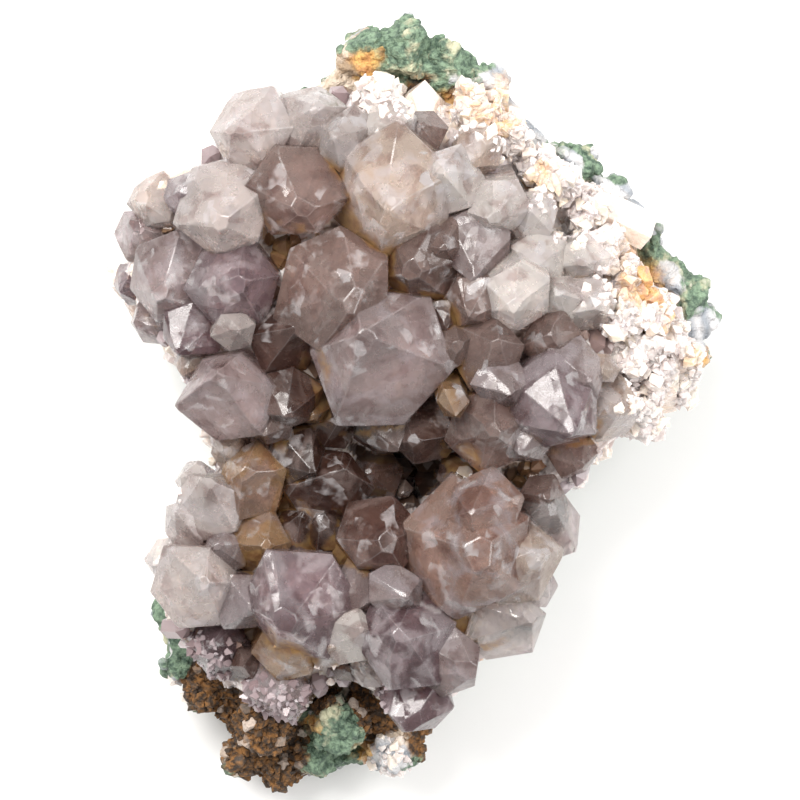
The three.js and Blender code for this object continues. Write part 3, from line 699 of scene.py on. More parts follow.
FINISHES = {
    "white": (paint(236, 227, 220), paint(240, 232, 227)),
    "milky": (paint(210, 198, 193), paint(206, 194, 190)),
    "beige": (paint(208, 187, 171), paint(198, 179, 166)),
    "lilac": (paint(188, 171, 168), paint(170, 153, 152)),
    "violet": (paint(166, 145, 146), paint(136, 116, 122)),
    "plum": (paint(134, 112, 116), paint(118, 96, 101)),
    "smoky": (paint(164, 139, 129), paint(145, 123, 117)),
    # The two darkest finishes, for crystals deep in the cavity, are partly their own smoky brown and partly
    # painted shade
    "dusky": (paint(108, 79, 68), paint(104, 78, 71)),
    "umber_shaded": (paint(84, 58, 46), paint(80, 56, 48)),
    "tea": (paint(198, 162, 120), paint(174, 137, 102)),
    "rose": (paint(192, 161, 145), paint(174, 142, 130)),
    "clear": (paint(236, 229, 225), paint(230, 224, 222)),
}


# %% [markdown]
# Finishes are built from nodes. Three effects are used by several finishes, so each is a group that is built
# once: soft clouds inside quartz with bright patches that are partly veils and partly painted glints, iron
# stain that settles in patches and darkens in the depths partly as painted shade, and the fine relief of
# broken sugary quartz.

# %% Helpers for node trees


def socket(tree, name, kind, value=None, out=False):
    """A named input or output of a node group."""
    made = tree.interface.new_socket(name=name, in_out="OUTPUT" if out else "INPUT", socket_type=kind)
    if value is not None:
        made.default_value = value
    return made


def feed(tree, target, value):
    """Gives an input its value, or links it where the value is another node's output."""
    if isinstance(value, bpy.types.NodeSocket):
        tree.links.new(value, target)
    else:
        target.default_value = value


def add(tree, kind, settings=None, **inputs):
    """A node with its settings and inputs. Inputs without a name of their own are i0, i1 and so on."""
    node = tree.nodes.new(kind)
    for key, value in (settings or {}).items():
        setattr(node, key, value)
    for key, value in inputs.items():
        numbered = key[0] == "i" and key[1:].isdigit()
        feed(tree, node.inputs[int(key[1:]) if numbered else key.replace("_", " ")], value)
    return node


def math_node(tree, operation, a, b=None, clamp=False):
    """One sum. Its result is the returned output."""
    inputs = {"i0": a}
    if b is not None:
        inputs["i1"] = b
    return add(tree, "ShaderNodeMath", {"operation": operation, "use_clamp": clamp}, **inputs).outputs[0]


def scaled(tree, value, amount):
    """A value times another."""
    return math_node(tree, "MULTIPLY", value, amount)


def vector_node(tree, operation, *vectors, **inputs):
    """One sum of vectors. Its result is the returned output."""
    numbered = {f"i{index}": vector for index, vector in enumerate(vectors)}
    return add(tree, "ShaderNodeVectorMath", {"operation": operation}, **numbered, **inputs).outputs[0]


def cells_of(tree, place, size):
    """The nearest cell at a place: its distance and a colour of its own."""
    return add(tree, "ShaderNodeTexVoronoi", {"feature": "F1"}, Vector=place, Scale=size).outputs


def place_in(tree):
    """Where on the piece a point lies."""
    return add(tree, "ShaderNodeTexCoord").outputs["Object"]


def ramp(tree, value, low, high, to_low=0.0, to_high=1.0):
    """Stretches a range of values to another, softly at both ends."""
    node = add(tree, "ShaderNodeMapRange", {"interpolation_type": "SMOOTHSTEP"})
    tree.links.new(value, node.inputs["Value"])
    for key, number in (("From Min", low), ("From Max", high), ("To Min", to_low), ("To Max", to_high)):
        node.inputs[key].default_value = number
    return node.outputs["Result"]


def mix_colour(tree, share, first, second, blend="MIX"):
    """Two colours mixed by a share."""
    node = add(tree, "ShaderNodeMix", {"data_type": "RGBA", "blend_type": blend})
    feed(tree, node.inputs[0], share)
    for index, colour in ((6, first), (7, second)):
        feed(tree, node.inputs[index], (*colour, 1) if isinstance(colour, tuple) else colour)
    return node.outputs[2]


def attribute(tree, name):
    """The output of a mesh's own layer, by name, as a number."""
    return add(tree, "ShaderNodeAttribute", {"attribute_name": name}).outputs["Fac"]


def noise_of(tree, place, scale, detail=3.0, roughness=0.55, distortion=0.0):
    """Soft noise at a place."""
    return add(
        tree,
        "ShaderNodeTexNoise",
        {},
        Vector=place,
        Scale=scale,
        Detail=detail,
        Roughness=roughness,
        Distortion=distortion,
    ).outputs["Fac"]


def new_group(name, inputs, outputs):
    """An empty shader node group: its tree, its inputs and its outputs. An input has a kind and a value."""
    tree = bpy.data.node_groups.new(name, "ShaderNodeTree")
    for key, (kind, value) in inputs.items():
        socket(tree, key, kind, value)
    for key, kind in outputs.items():
        socket(tree, key, kind, out=True)
    return tree, tree.nodes.new("NodeGroupInput").outputs, tree.nodes.new("NodeGroupOutput").inputs


NUMBER = "NodeSocketFloat"
COLOUR = "NodeSocketColor"

# %% Group: clouds in quartz


def clouds_group():
    """What is seen in cloudy quartz: pale clouds, darker depths, and bright angular patches, partly white
    veils and partly painted reflections where cracks inside shine.
    """
    outputs = {"Clouds": NUMBER, "Depths": NUMBER, "Panes": NUMBER}
    tree, given, result = new_group("Quartz_clouds", {"Size": (NUMBER, 300.0)}, outputs)
    place = place_in(tree)
    size = given["Size"]
    cloud = noise_of(tree, place, size, 5.0, 0.55, 0.9)
    moved = vector_node(tree, "ADD", place, (0.031, 0.017, 0.023))
    depth = noise_of(tree, moved, scaled(tree, size, 1.4), 4.0, 0.55, 0.6)
    bent = add(tree, "ShaderNodeTexNoise", {}, Vector=place, Scale=scaled(tree, size, 2.0), Detail=1.0)
    shifted = vector_node(tree, "MULTIPLY_ADD", bent.outputs["Color"], (MM, MM, MM), place)
    cells = cells_of(tree, shifted, scaled(tree, size, 2.4))
    pick = add(tree, "ShaderNodeSeparateColor", {}, Color=cells["Color"]).outputs[0]
    fading = ramp(tree, noise_of(tree, moved, scaled(tree, size, 2.6), 2.0), 0.42, 0.62)
    # Bright angular patches: partly white veils, partly painted reflections of cracks inside
    veil_glint_mask = scaled(tree, ramp(tree, pick, 0.78, 0.83), fading)
    tree.links.new(ramp(tree, cloud, 0.47, 0.62), result["Clouds"])
    tree.links.new(ramp(tree, depth, 0.48, 0.64), result["Depths"])
    tree.links.new(veil_glint_mask, result["Panes"])
    return tree


# %% Group: mosaic of small faces


def mosaic_group():
    """A crystal face is a mosaic of smaller faces that lean a little: this leans the normal in cells."""
    inputs = {"Size": (NUMBER, 300.0), "Lean": (NUMBER, 0.2)}
    tree, given, result = new_group("Face_mosaic", inputs, {"Normal": "NodeSocketVector"})
    place = place_in(tree)
    normal = add(tree, "ShaderNodeNewGeometry").outputs["Normal"]
    bent = add(tree, "ShaderNodeTexNoise", {}, Vector=place, Scale=given["Size"], Detail=2.0)
    shifted = vector_node(tree, "MULTIPLY_ADD", bent.outputs["Color"], (2 * MM, 2 * MM, 2 * MM), place)
    for times, share in ((1.0, 1.0), (2.7, 0.6)):
        cell = cells_of(tree, shifted, scaled(tree, given["Size"], times))["Color"]
        even = vector_node(tree, "SUBTRACT", cell, (0.5, 0.5, 0.5))
        leaned = vector_node(tree, "SCALE", even, Scale=scaled(tree, given["Lean"], share))
        normal = vector_node(tree, "ADD", normal, leaned)
    tree.links.new(vector_node(tree, "NORMALIZE", normal), result["Normal"])
    return tree


# %% Group: iron stain


def iron_group():
    """Yellow to dark brown iron stain over a colour. Amount is 0 for clean and 1 for soaked. Depth darkens
    it, partly as a thicker stain and partly as painted shade.
    """
    inputs = {"Colour": (COLOUR, None), "Amount": (NUMBER, 0.0), "Depth": (NUMBER, 0.0)}
    tree, given, result = new_group("Iron_stain", inputs, {"Colour": COLOUR, "Mask": NUMBER})
    place = place_in(tree)
    patches = noise_of(tree, place, 420.0, 5.0, 0.65, 0.4)
    tone = noise_of(tree, place, 900.0, 3.0, 0.6)
    pushed = math_node(tree, "ADD", given["Amount"], math_node(tree, "SUBTRACT", patches, 0.5))
    mask = ramp(tree, pushed, 0.28, 0.78)
    yellow = mix_colour(tree, ramp(tree, tone, 0.35, 0.65), paint(220, 172, 96), paint(170, 112, 54))
    # Deeper places turn the stain dark brown: partly thicker stain, partly painted shade
    deep = mix_colour(tree, given["Depth"], yellow, paint(58, 36, 22))
    stained = mix_colour(tree, scaled(tree, mask, 0.85), given["Colour"], deep)
    tree.links.new(stained, result["Colour"])
    tree.links.new(mask, result["Mask"])
    return tree


# %% Group: sugary relief


def sugar_group():
    """The fine relief of broken, sugary quartz: a height of small blocks with grains on them."""
    outputs = {"Height": NUMBER, "Shade": NUMBER}
    tree, given, result = new_group("Sugar_relief", {"Size": (NUMBER, 900.0)}, outputs)
    place = place_in(tree)
    blocks = cells_of(tree, place, given["Size"])
    grains = cells_of(tree, place, scaled(tree, given["Size"], 2.6))
    low, lower = (scaled(tree, cell["Distance"], share) for cell, share in ((blocks, -0.7), (grains, -0.3)))
    height = math_node(tree, "ADD", low, lower)
    shade = add(tree, "ShaderNodeSeparateColor", {}, Color=blocks["Color"]).outputs[0]
    tree.links.new(height, result["Height"])
    tree.links.new(shade, result["Shade"])
    return tree


CLOUDS = clouds_group()
MOSAIC = mosaic_group()
IRON = iron_group()
SUGAR = sugar_group()

# %% [markdown]
# Amethyst is quartz: glass-clear in places and milky in most. The finish is part glass and part milk, in one
# shader. The share of glass, how strongly it bends light and how it soaks up colour with depth are plain
# numbers. The clouds, veils and stains change over the surface. Bright patches and worn edges are lifted to
# near-white, partly as painted glints, and places deep between the crystals get painted shade.

# %% Finish of the crystals
# How strongly quartz bends light
QUARTZ_IOR = 1.544


def new_material(name):
    """A material with its shader and output, ready to be filled."""
    made = bpy.data.materials.new(name)
    made.use_nodes = True
    tree = made.node_tree
    return made, tree, tree.nodes["Principled BSDF"], tree.nodes["Material Output"]


def group(tree, source, **inputs):
    """One use of a shader group with its own values."""
    node = tree.nodes.new("ShaderNodeGroup")
    node.node_tree = source
    for key, value in inputs.items():
        feed(tree, node.inputs[key], value)
    return node


def stain(tree, colour):
    """A colour with iron stain over it, as the piece's layers say; the shelter layer darkens it, partly as
    painted shade. Returns the group's outputs.
    """
    layers = {"Amount": attribute(tree, "iron"), "Depth": attribute(tree, "shelter")}
    return group(tree, IRON, Colour=colour, **layers).outputs


def quartz_finish(name, glass, soak_colour, soak, milk_colour, roughness):
    """Crystal quartz. glass is the share that light passes clearly, soak how strongly depth colours it.

    Milky crystals hide what lies deep, so they have no soak."""
    made, tree, shader, output = new_material(name)
    place = place_in(tree)
    clouds = group(tree, CLOUDS, Size=190.0).outputs
    tint = add(tree, "ShaderNodeAttribute", {"attribute_name": "tint"}).outputs["Color"]
    shade = ramp(tree, attribute(tree, "facet"), 0.0, 1.0, 0.86, 1.06)
    faced = add(tree, "ShaderNodeHueSaturation", {}, Color=tint, Value=shade).outputs[0]
    deep = mix_colour(tree, scaled(tree, clouds["Depths"], 0.6), faced, DEEP, "MULTIPLY")
    cloudy = mix_colour(tree, scaled(tree, clouds["Clouds"], 0.65), deep, milk_colour)
    # Bright patches and worn edges are lifted to near-white: partly veils and worn quartz, partly painted
    # glints
    veiled_and_glinted = mix_colour(tree, scaled(tree, clouds["Panes"], 0.7), cloudy, WHITENING_AND_GLINT)
    worn_and_glinted = mix_colour(tree, scaled(tree, attribute(tree, "worn"), 0.12), veiled_and_glinted, WHITENING_AND_GLINT)
    # Painted shade: places deep between neighbours are darkened and warmed
    sheltered = scaled(tree, attribute(tree, "shelter"), 0.8)
    shaded = mix_colour(tree, sheltered, worn_and_glinted, WARM_SHADE, "MULTIPLY")
    stained = stain(tree, shaded)
    tree.links.new(stained["Colour"], shader.inputs["Base Color"])
    rough = ramp(tree, noise_of(tree, place, 500.0, 3.0, 0.6), 0.35, 0.7, roughness, roughness + 0.22)
    stained_rough = math_node(tree, "ADD", rough, scaled(tree, stained["Mask"], 0.35), True)
    tree.links.new(stained_rough, shader.inputs["Roughness"])
    shader.inputs["IOR"].default_value = QUARTZ_IOR
    shader.inputs["Transmission Weight"].default_value = glass
    lines = scaled(tree, attribute(tree, "along"), 4.5)
    striae = add(tree, "ShaderNodeTexNoise", {"noise_dimensions": "1D"}, W=lines, Scale=1.0, Detail=3.0)
    striped = scaled(tree, striae.outputs["Fac"], scaled(tree, attribute(tree, "prism"), 0.5))
    relief = math_node(tree, "ADD", striped, noise_of(tree, place, 330.0, 2.0, 0.5))
    mosaic = group(tree, MOSAIC, Size=300.0, Lean=0.2).outputs["Normal"]
    bump = add(tree, "ShaderNodeBump", {}, Strength=0.25, Distance=0.0006, Height=relief, Normal=mosaic)
    tree.links.new(bump.outputs["Normal"], shader.inputs["Normal"])
    if soak > 0:
        depth = add(tree, "ShaderNodeVolumeAbsorption", {}, Color=(*soak_colour, 1), Density=soak)
        tree.links.new(depth.outputs["Volume"], output.inputs["Volume"])
    return made


DEEP = paint(178, 152, 150)
# Near-white of veils and worn edges, also standing for painted glints
WHITENING_AND_GLINT = paint(236, 231, 233)
WARM_SHADE = paint(176, 134, 112)
MILK = paint(220, 211, 211)
quartz_milky = quartz_finish("quartz_milky", 0.65, (1, 1, 1), 0, MILK, 0.14)
quartz_lilac = quartz_finish("quartz_lilac", 0.7, (0.85, 0.77, 0.8), 70, paint(198, 186, 190), 0.13)
quartz_smoky = quartz_finish("quartz_smoky", 0.7, (0.8, 0.68, 0.64), 90, paint(160, 138, 132), 0.12)
quartz_clear = quartz_finish("quartz_clear", 0.9, (0.95, 0.93, 0.95), 30, MILK, 0.04)
CRYSTAL_PIECES = {
    "crystals_milky": (("white", "milky", "beige"), quartz_milky),
    "crystals_lilac": (("lilac", "violet", "plum", "rose"), quartz_lilac),
    "crystals_smoky": (("smoky", "dusky", "umber_shaded", "tea"), quartz_smoky),
    "crystals_clear": (("clear",), quartz_clear),
}

# %% Put the crystals together


def crystal_piece(name, finishes, material):
    """All crystals of some finishes as one mesh, each a closed shell of its own."""
    whole = bmesh.new()
    tint_layer = whole.verts.layers.float_color.new("tint")
    along_layer = whole.verts.layers.float.new("along")
    prism_layer = whole.verts.layers.float.new("prism")
    worn_layer = whole.faces.layers.float.new("worn")
    facet_layer = whole.faces.layers.float.new("facet")
    count = 0
    for index, row in enumerate(CRYSTALS):
        if row[7] not in finishes:
            continue
        shape, axis, worn = cut_crystals[index]
        points, triangles, marks = divided(shape, LONGEST_EDGE, worn)
        root, tip = FINISHES[row[7]]
        brightness = 0.95 + 0.1 * chance(index, 95)
        far = max(point.dot(axis) for point in points)
        copies = []
        for point in points:
            new = whole.verts.new(point * MM)
            depth = (far - point.dot(axis)) / (2.6 * row[2])
            share = min(1, max(0, depth))
            colour = [brightness * (t * (1 - share) + r * share) for r, t in zip(root, tip)]
            new[tint_layer] = (*colour, 1)
            new[along_layer] = far - point.dot(axis)
            new[prism_layer] = 1 if depth > 0.55 else 0
            copies.append(new)
        for corners, (facet, on_worn) in zip(triangles, marks):
            face = whole.faces.new([copies[k] for k in corners])
            face[worn_layer] = float(on_worn)
            face[facet_layer] = chance(index, 200 + facet)
        count += 1
    mesh = new_mesh(name, whole)
    places = places_of(mesh)
    covered = buried(places)
    shelter = shelter_of(places)
    spots = spotted(IRON_SPOTS, places)
    iron = 0.4 * spots * (0.5 + shelter) + cleft_of(places) * (0.35 + 0.8 * spots)
    value_layer(mesh, "iron", iron * (1 - covered))
    value_layer(mesh, "shelter", shelter * (1 - covered))
    print(count, "crystals in", name)
    return add_piece(name, mesh, material, QUARTZ)


crystals = {name: crystal_piece(name, *given) for name, given in CRYSTAL_PIECES.items()}

# %% [markdown]
# The crust under the crystals. Quartz that grew first, without room for points, is a white granular
# bed. It is a fine ball wrapped over the same heights as the part's, and small noise makes it sugary.
# Between the crystals it is stained, under them it is clean, and along its broken outer edge it shows
# blue-grey agate.

# %% Crust
CRUST_DETAIL = 7
CRUST_GRAIN = 0.35
CRUST_INSET = 0.975
UNDER_RIND_TOP = 0.7
LEAN_SEED = 5


def smooth_step(value, low, high):
    """0 below low, 1 above high, and a soft rise between."""
    share = min(1, max(0, (value - low) / (high - low)))
    return share * share * (3 - 2 * share)


def wrapped_ball(reaches, detail, height_above, height_below):
    """A ball wrapped round a plan outline: its upper half follows one height, its lower half another."""
    ball = bmesh.new()
    bmesh.ops.create_icosphere(ball, subdivisions=detail, radius=1)
    for v in ball.verts:
        angle = math.atan2(v.co.y, v.co.x)
        edge = float(edge_from_heart(reaches, HEART[0] + math.cos(angle), HEART[1] + math.sin(angle)))
        from_pole = math.acos(min(1, max(-1, v.co.z / v.co.length)))
        share = min(1, min(from_pole, math.pi - from_pole) / WALL_START)
        down = smooth_step(from_pole, WALL_START, math.pi - WALL_START)
        x = HEART[0] + math.cos(angle) * edge * share * CRUST_INSET
        y = HEART[1] + math.sin(angle) * edge * share * CRUST_INSET
        v.co = (x, y, height_above(x, y) * (1 - down) + height_below(x, y) * down)
    return ball


crust_ball = wrapped_ball(
    crust_reaches,
    CRUST_DETAIL,
    lambda x, y: height_at(CRUST_TOP, x, y),
    lambda x, y: height_at(RIND_TOP, x, y) - UNDER_RIND_TOP,
)


# noise_vector starts from a seed of its own, which changes with the clock unless it is set.
noise.seed_set(LEAN_SEED)


def broken_relief(place, size):
    """A broken surface of flat, leaning facets, tall on its sides. Returns a height and a tone."""
    height = 0
    for share, across in ((0.6, size), (0.4, 0.4 * size)):
        spot = Vector((place.x, place.y, 0.45 * place.z)) / across
        middle = noise.voronoi(spot)[1][0]
        lean = noise.noise_vector(middle * 3.1)
        height += share * across * (spot - middle).dot(lean)
    return height, 0.5 + 0.9 * noise.noise(middle * 5.3)


BROKEN_FACET = 3.2
crust_ball.normal_update()
ball_places = np.array([v.co[:] for v in crust_ball.verts])
crust_side = np.clip((0.5 - np.array([v.normal.z for v in crust_ball.verts])) / 0.4, 0, 1)
crust_broken = np.maximum(spotted(BROKEN_SPOTS, ball_places, seed=11.0), 0.8 * crust_side)
above_rind = ball_places[:, 2] - height_at(RIND_TOP, ball_places[:, 0], ball_places[:, 1])
agate_band = np.clip(1.5 - above_rind / 2.2, 0, 1)
crust_agate = np.maximum(spotted(AGATE_SPOTS, ball_places), crust_side * agate_band)
crust_tone = []
moved = []
for v, broken in zip(crust_ball.verts, crust_broken):
    rough = noise.noise(v.co * 0.55) + 0.6 * noise.noise(v.co * 1.3) + 0.4 * noise.noise(v.co * 2.9)
    height, tone = broken_relief(v.co, BROKEN_FACET)
    crust_tone.append(tone)
    moved.append(v.co + v.normal * (CRUST_GRAIN * rough + (0.3 + 1.2 * min(1, broken)) * height))
for v, place in zip(crust_ball.verts, moved):
    v.co = place * MM
crust_mesh = new_mesh("crust", crust_ball)
crust_places = places_of(crust_mesh)
crust_covered = buried(crust_places, 1.0)
crust_shelter = shelter_of(crust_places)
crust_iron = np.maximum(0.9 * spotted(IRON_SPOTS, crust_places), 0.75 * crust_shelter) * (1 - crust_covered)
value_layer(crust_mesh, "iron", crust_iron)
value_layer(crust_mesh, "tone", np.clip(crust_tone, 0, 1))
value_layer(crust_mesh, "shelter", crust_shelter * (1 - crust_covered))
value_layer(crust_mesh, "brown", spotted(BROWN_SPOTS, crust_places))
value_layer(crust_mesh, "agate", crust_agate)
value_layer(crust_mesh, "side", crust_side)


def softened(shader):
    """Lets some light run a millimetre or so through milky quartz, as through sugar."""
    shader.inputs["Subsurface Weight"].default_value = 0.5
    shader.inputs["Subsurface Radius"].default_value = (1, 0.85, 0.8)
    shader.inputs["Subsurface Scale"].default_value = 1.5 * MM


def toned(tree, colour):
    """Broken quartz isn't one white: some grains are creamy, some lilac grey."""
    tone = attribute(tree, "tone")
    cream = mix_colour(tree, ramp(tree, tone, 0.75, 1.0), colour, paint(238, 222, 206))
    return mix_colour(tree, ramp(tree, tone, 0.35, 0.0), cream, paint(212, 201, 203))


def crust_finish():
    """White granular quartz with iron, agate and brown rock where their layers say."""
    made, tree, shader, _ = new_material("crust_quartz")
    clouds = group(tree, CLOUDS, Size=300.0).outputs["Clouds"]
    sugar = group(tree, SUGAR, Size=1000.0).outputs
    white = toned(tree, mix_colour(tree, clouds, paint(204, 192, 189), paint(232, 223, 219)))
    grained = mix_colour(tree, scaled(tree, sugar["Shade"], 0.25), white, paint(206, 195, 191))
    zone = mix_colour(tree, clouds, paint(192, 178, 182), paint(222, 213, 213))
    zoned = mix_colour(tree, scaled(tree, attribute(tree, "side"), 0.85), grained, zone)
    blue = mix_colour(tree, ramp(tree, attribute(tree, "agate"), 0.3, 0.7), zoned, paint(180, 182, 188))
    brown = mix_colour(tree, ramp(tree, attribute(tree, "brown"), 0.45, 0.8), blue, paint(92, 68, 46))
    stained = stain(tree, brown)
    tree.links.new(stained["Colour"], shader.inputs["Base Color"])
    shader.inputs["Roughness"].default_value = 0.32
    softened(shader)
    shader.inputs["IOR"].default_value = QUARTZ_IOR
    bump = add(tree, "ShaderNodeBump", {}, Strength=0.5, Distance=0.0005, Height=sugar["Height"])
    tree.links.new(bump.outputs["Normal"], shader.inputs["Normal"])
    return made


crust_material = crust_finish()
add_piece("crust", crust_mesh, crust_material, QUARTZ)

# %% [markdown]
# The rind is the rock skin that lined the cavity's wall. Its solid is already right in size, so the
# detailed skin starts as a copy of it: the loose triangles are merged, remade in small even squares,
# and roughened. Its underside is level where it stands, so nothing there moves below the floor.

# %% Rind
RIND_VOXEL = 0.42
RIND_RELIEF = 0.38


def fine_copy(node, name, voxel):
    """A closed, finely divided copy of one of the part's solids."""
    source = bmesh.new()
    source.from_mesh(frame["nodes"][node].data)
    bmesh.ops.remove_doubles(source, verts=source.verts, dist=1e-6)
    work = new_object(name + "_work", new_mesh(name, source))
    fine = work.modifiers.new("even", "REMESH")
    fine.mode = "VOXEL"
    fine.voxel_size = voxel * MM
    fine.use_smooth_shade = False
    made = modified(work, name)
    made.materials.clear()
    return made


def roughened(mesh, relief, keep_level):
    """Moves a mesh's points along their normals by noise of three sizes, and not below a level."""
    shape = bmesh.new()
    shape.from_mesh(mesh)
    shape.normal_update()
    moved = []
    for v in shape.verts:
        place = v.co / MM
        rough = noise.noise(place * 0.35) + 0.8 * noise.noise(place * 0.9) + 0.5 * noise.noise(place * 2.1)
        moved.append(v.co + v.normal * (relief * MM * rough))
    for v, place in zip(shape.verts, moved):
        v.co = (place.x, place.y, max(keep_level, place.z))
    shape.to_mesh(mesh)
    shape.free()


rind_mesh = fine_copy(ROCK[1], "rind", RIND_VOXEL)
roughened(rind_mesh, RIND_RELIEF, 0.0)
rind_places = places_of(rind_mesh)
below_top = height_at(RIND_TOP, rind_places[:, 0], rind_places[:, 1]) - rind_places[:, 2]
facing_up = upward(rind_mesh)
agate_rim = np.clip(1 - np.abs(below_top - 1.0) / 2.2, 0, 1) * np.clip(1 - facing_up, 0, 1)
rind_green = np.where(facing_up < 0.1, 0.75, spotted(GREEN_SPOTS, rind_places, seed=3.0))
value_layer(rind_mesh, "green", rind_green)
near_top = np.clip(1.6 - below_top / 4, 0, 1)
rind_agate = spotted(AGATE_SPOTS, rind_places, seed=5.0) * near_top
value_layer(rind_mesh, "agate", np.maximum(rind_agate, 0.8 * agate_rim))
value_layer(rind_mesh, "iron", 0.9 * spotted(IRON_SPOTS, rind_places) * near_top)
rind_brown = spotted(BROWN_SPOTS, rind_places, seed=7.0)
value_layer(rind_mesh, "brown", rind_brown)
value_layer(rind_mesh, "shelter", np.clip(shelter_of(rind_places) - 0.6, 0, 1) * 0.4)


def skin_colours(tree):
    """The rock colours of the rind, mixed by its layers: green skin, agate, brown rock and iron."""
    place = place_in(tree)
    broad = noise_of(tree, place, 260.0, 4.0, 0.6)
    fine = noise_of(tree, place, 1100.0, 4.0, 0.65)
    green = mix_colour(tree, ramp(tree, fine, 0.35, 0.68), paint(64, 84, 70), paint(128, 150, 126))
    pale = mix_colour(tree, ramp(tree, broad, 0.52, 0.66), green, paint(186, 184, 156))
    bands = add(
        tree,
        "ShaderNodeTexWave",
        {"wave_type": "RINGS", "rings_direction": "Z"},
        Vector=place,
        Scale=120.0,
        Distortion=6.0,
        Detail=3.0,
    ).outputs["Fac"]
    agate = mix_colour(tree, bands, paint(146, 151, 158), paint(200, 199, 200))
    mixed_patch = math_node(tree, "ADD", attribute(tree, "green"), math_node(tree, "SUBTRACT", fine, 0.5))
    host = mix_colour(tree, ramp(tree, broad, 0.4, 0.62), paint(214, 200, 184), paint(150, 128, 104))
    skin = mix_colour(tree, ramp(tree, mixed_patch, 0.25, 0.5), host, pale)
    agate_patch = math_node(tree, "ADD", attribute(tree, "agate"), math_node(tree, "SUBTRACT", broad, 0.5))
    veined = mix_colour(tree, ramp(tree, agate_patch, 0.45, 0.62), skin, agate)
    rust = mix_colour(tree, ramp(tree, fine, 0.4, 0.66), paint(50, 36, 25), paint(132, 92, 50))
    fully_green = ramp(tree, attribute(tree, "green"), 0.8, 1.2)
    bare = math_node(tree, "SUBTRACT", attribute(tree, "brown"), fully_green)
    rust_patch = math_node(tree, "ADD", bare, math_node(tree, "SUBTRACT", broad, 0.5))
    grained = mix_colour(tree, ramp(tree, attribute(tree, "tone"), 0.9, 1.0), rust, paint(190, 174, 162))
    rusty = mix_colour(tree, ramp(tree, rust_patch, 0.35, 0.6), veined, grained)
    return stain(tree, rusty)["Colour"], fine


def rind_finish():
    """The rough rock skin."""
    made, tree, shader, _ = new_material("rock_skin")
    colour, fine = skin_colours(tree)
    tree.links.new(colour, shader.inputs["Base Color"])
    tree.links.new(ramp(tree, fine, 0.3, 0.7, 0.62, 0.9), shader.inputs["Roughness"])
    sugar = group(tree, SUGAR, Size=1300.0).outputs
    relief = math_node(tree, "ADD", sugar["Height"], fine)
    bump = add(tree, "ShaderNodeBump", {}, Strength=0.7, Distance=0.0005, Height=relief)
    tree.links.new(bump.outputs["Normal"], shader.inputs["Normal"])
    return made


rock_skin = rind_finish()
add_piece("rind", rind_mesh, rock_skin, ROCK)

# %% [markdown]
# Small crystals, grains and knobs grow on a surface by the hundred. A Geometry Nodes tree scatters
# them: it spreads points evenly, lays a small shape on each, leans and turns it by chance, and sets its
# size. One tree with named inputs serves all of them. The layer called room says where on the surface
# they may stand.

# %% The scattering tree
SCATTER_INPUTS = {
    "Shapes": ("NodeSocketCollection", None),
    "Spacing": ("NodeSocketFloat", 0.001),
    "Smallest": ("NodeSocketFloat", 0.5),
    "Largest": ("NodeSocketFloat", 1.0),
    "Tilt": ("NodeSocketFloat", 0.3),
    "Sink": ("NodeSocketFloat", 0.0),
    "Seed": ("NodeSocketInt", 1),
    "Finish": ("NodeSocketMaterial", None),
}
MOST_PER_AREA = 6e6


def random_between(tree, kind, low, high, seed):
    """A random number or direction for each point, from a fixed seed."""
    first = 0 if kind == "FLOAT_VECTOR" else 2
    node = tree.nodes.new("FunctionNodeRandomValue")
    node.data_type = kind
    for index, value in ((first, low), (first + 1, high)):
        feed(tree, node.inputs[index], value)
    tree.links.new(seed, node.inputs["Seed"])
    return node.outputs[0 if kind == "FLOAT_VECTOR" else 1]


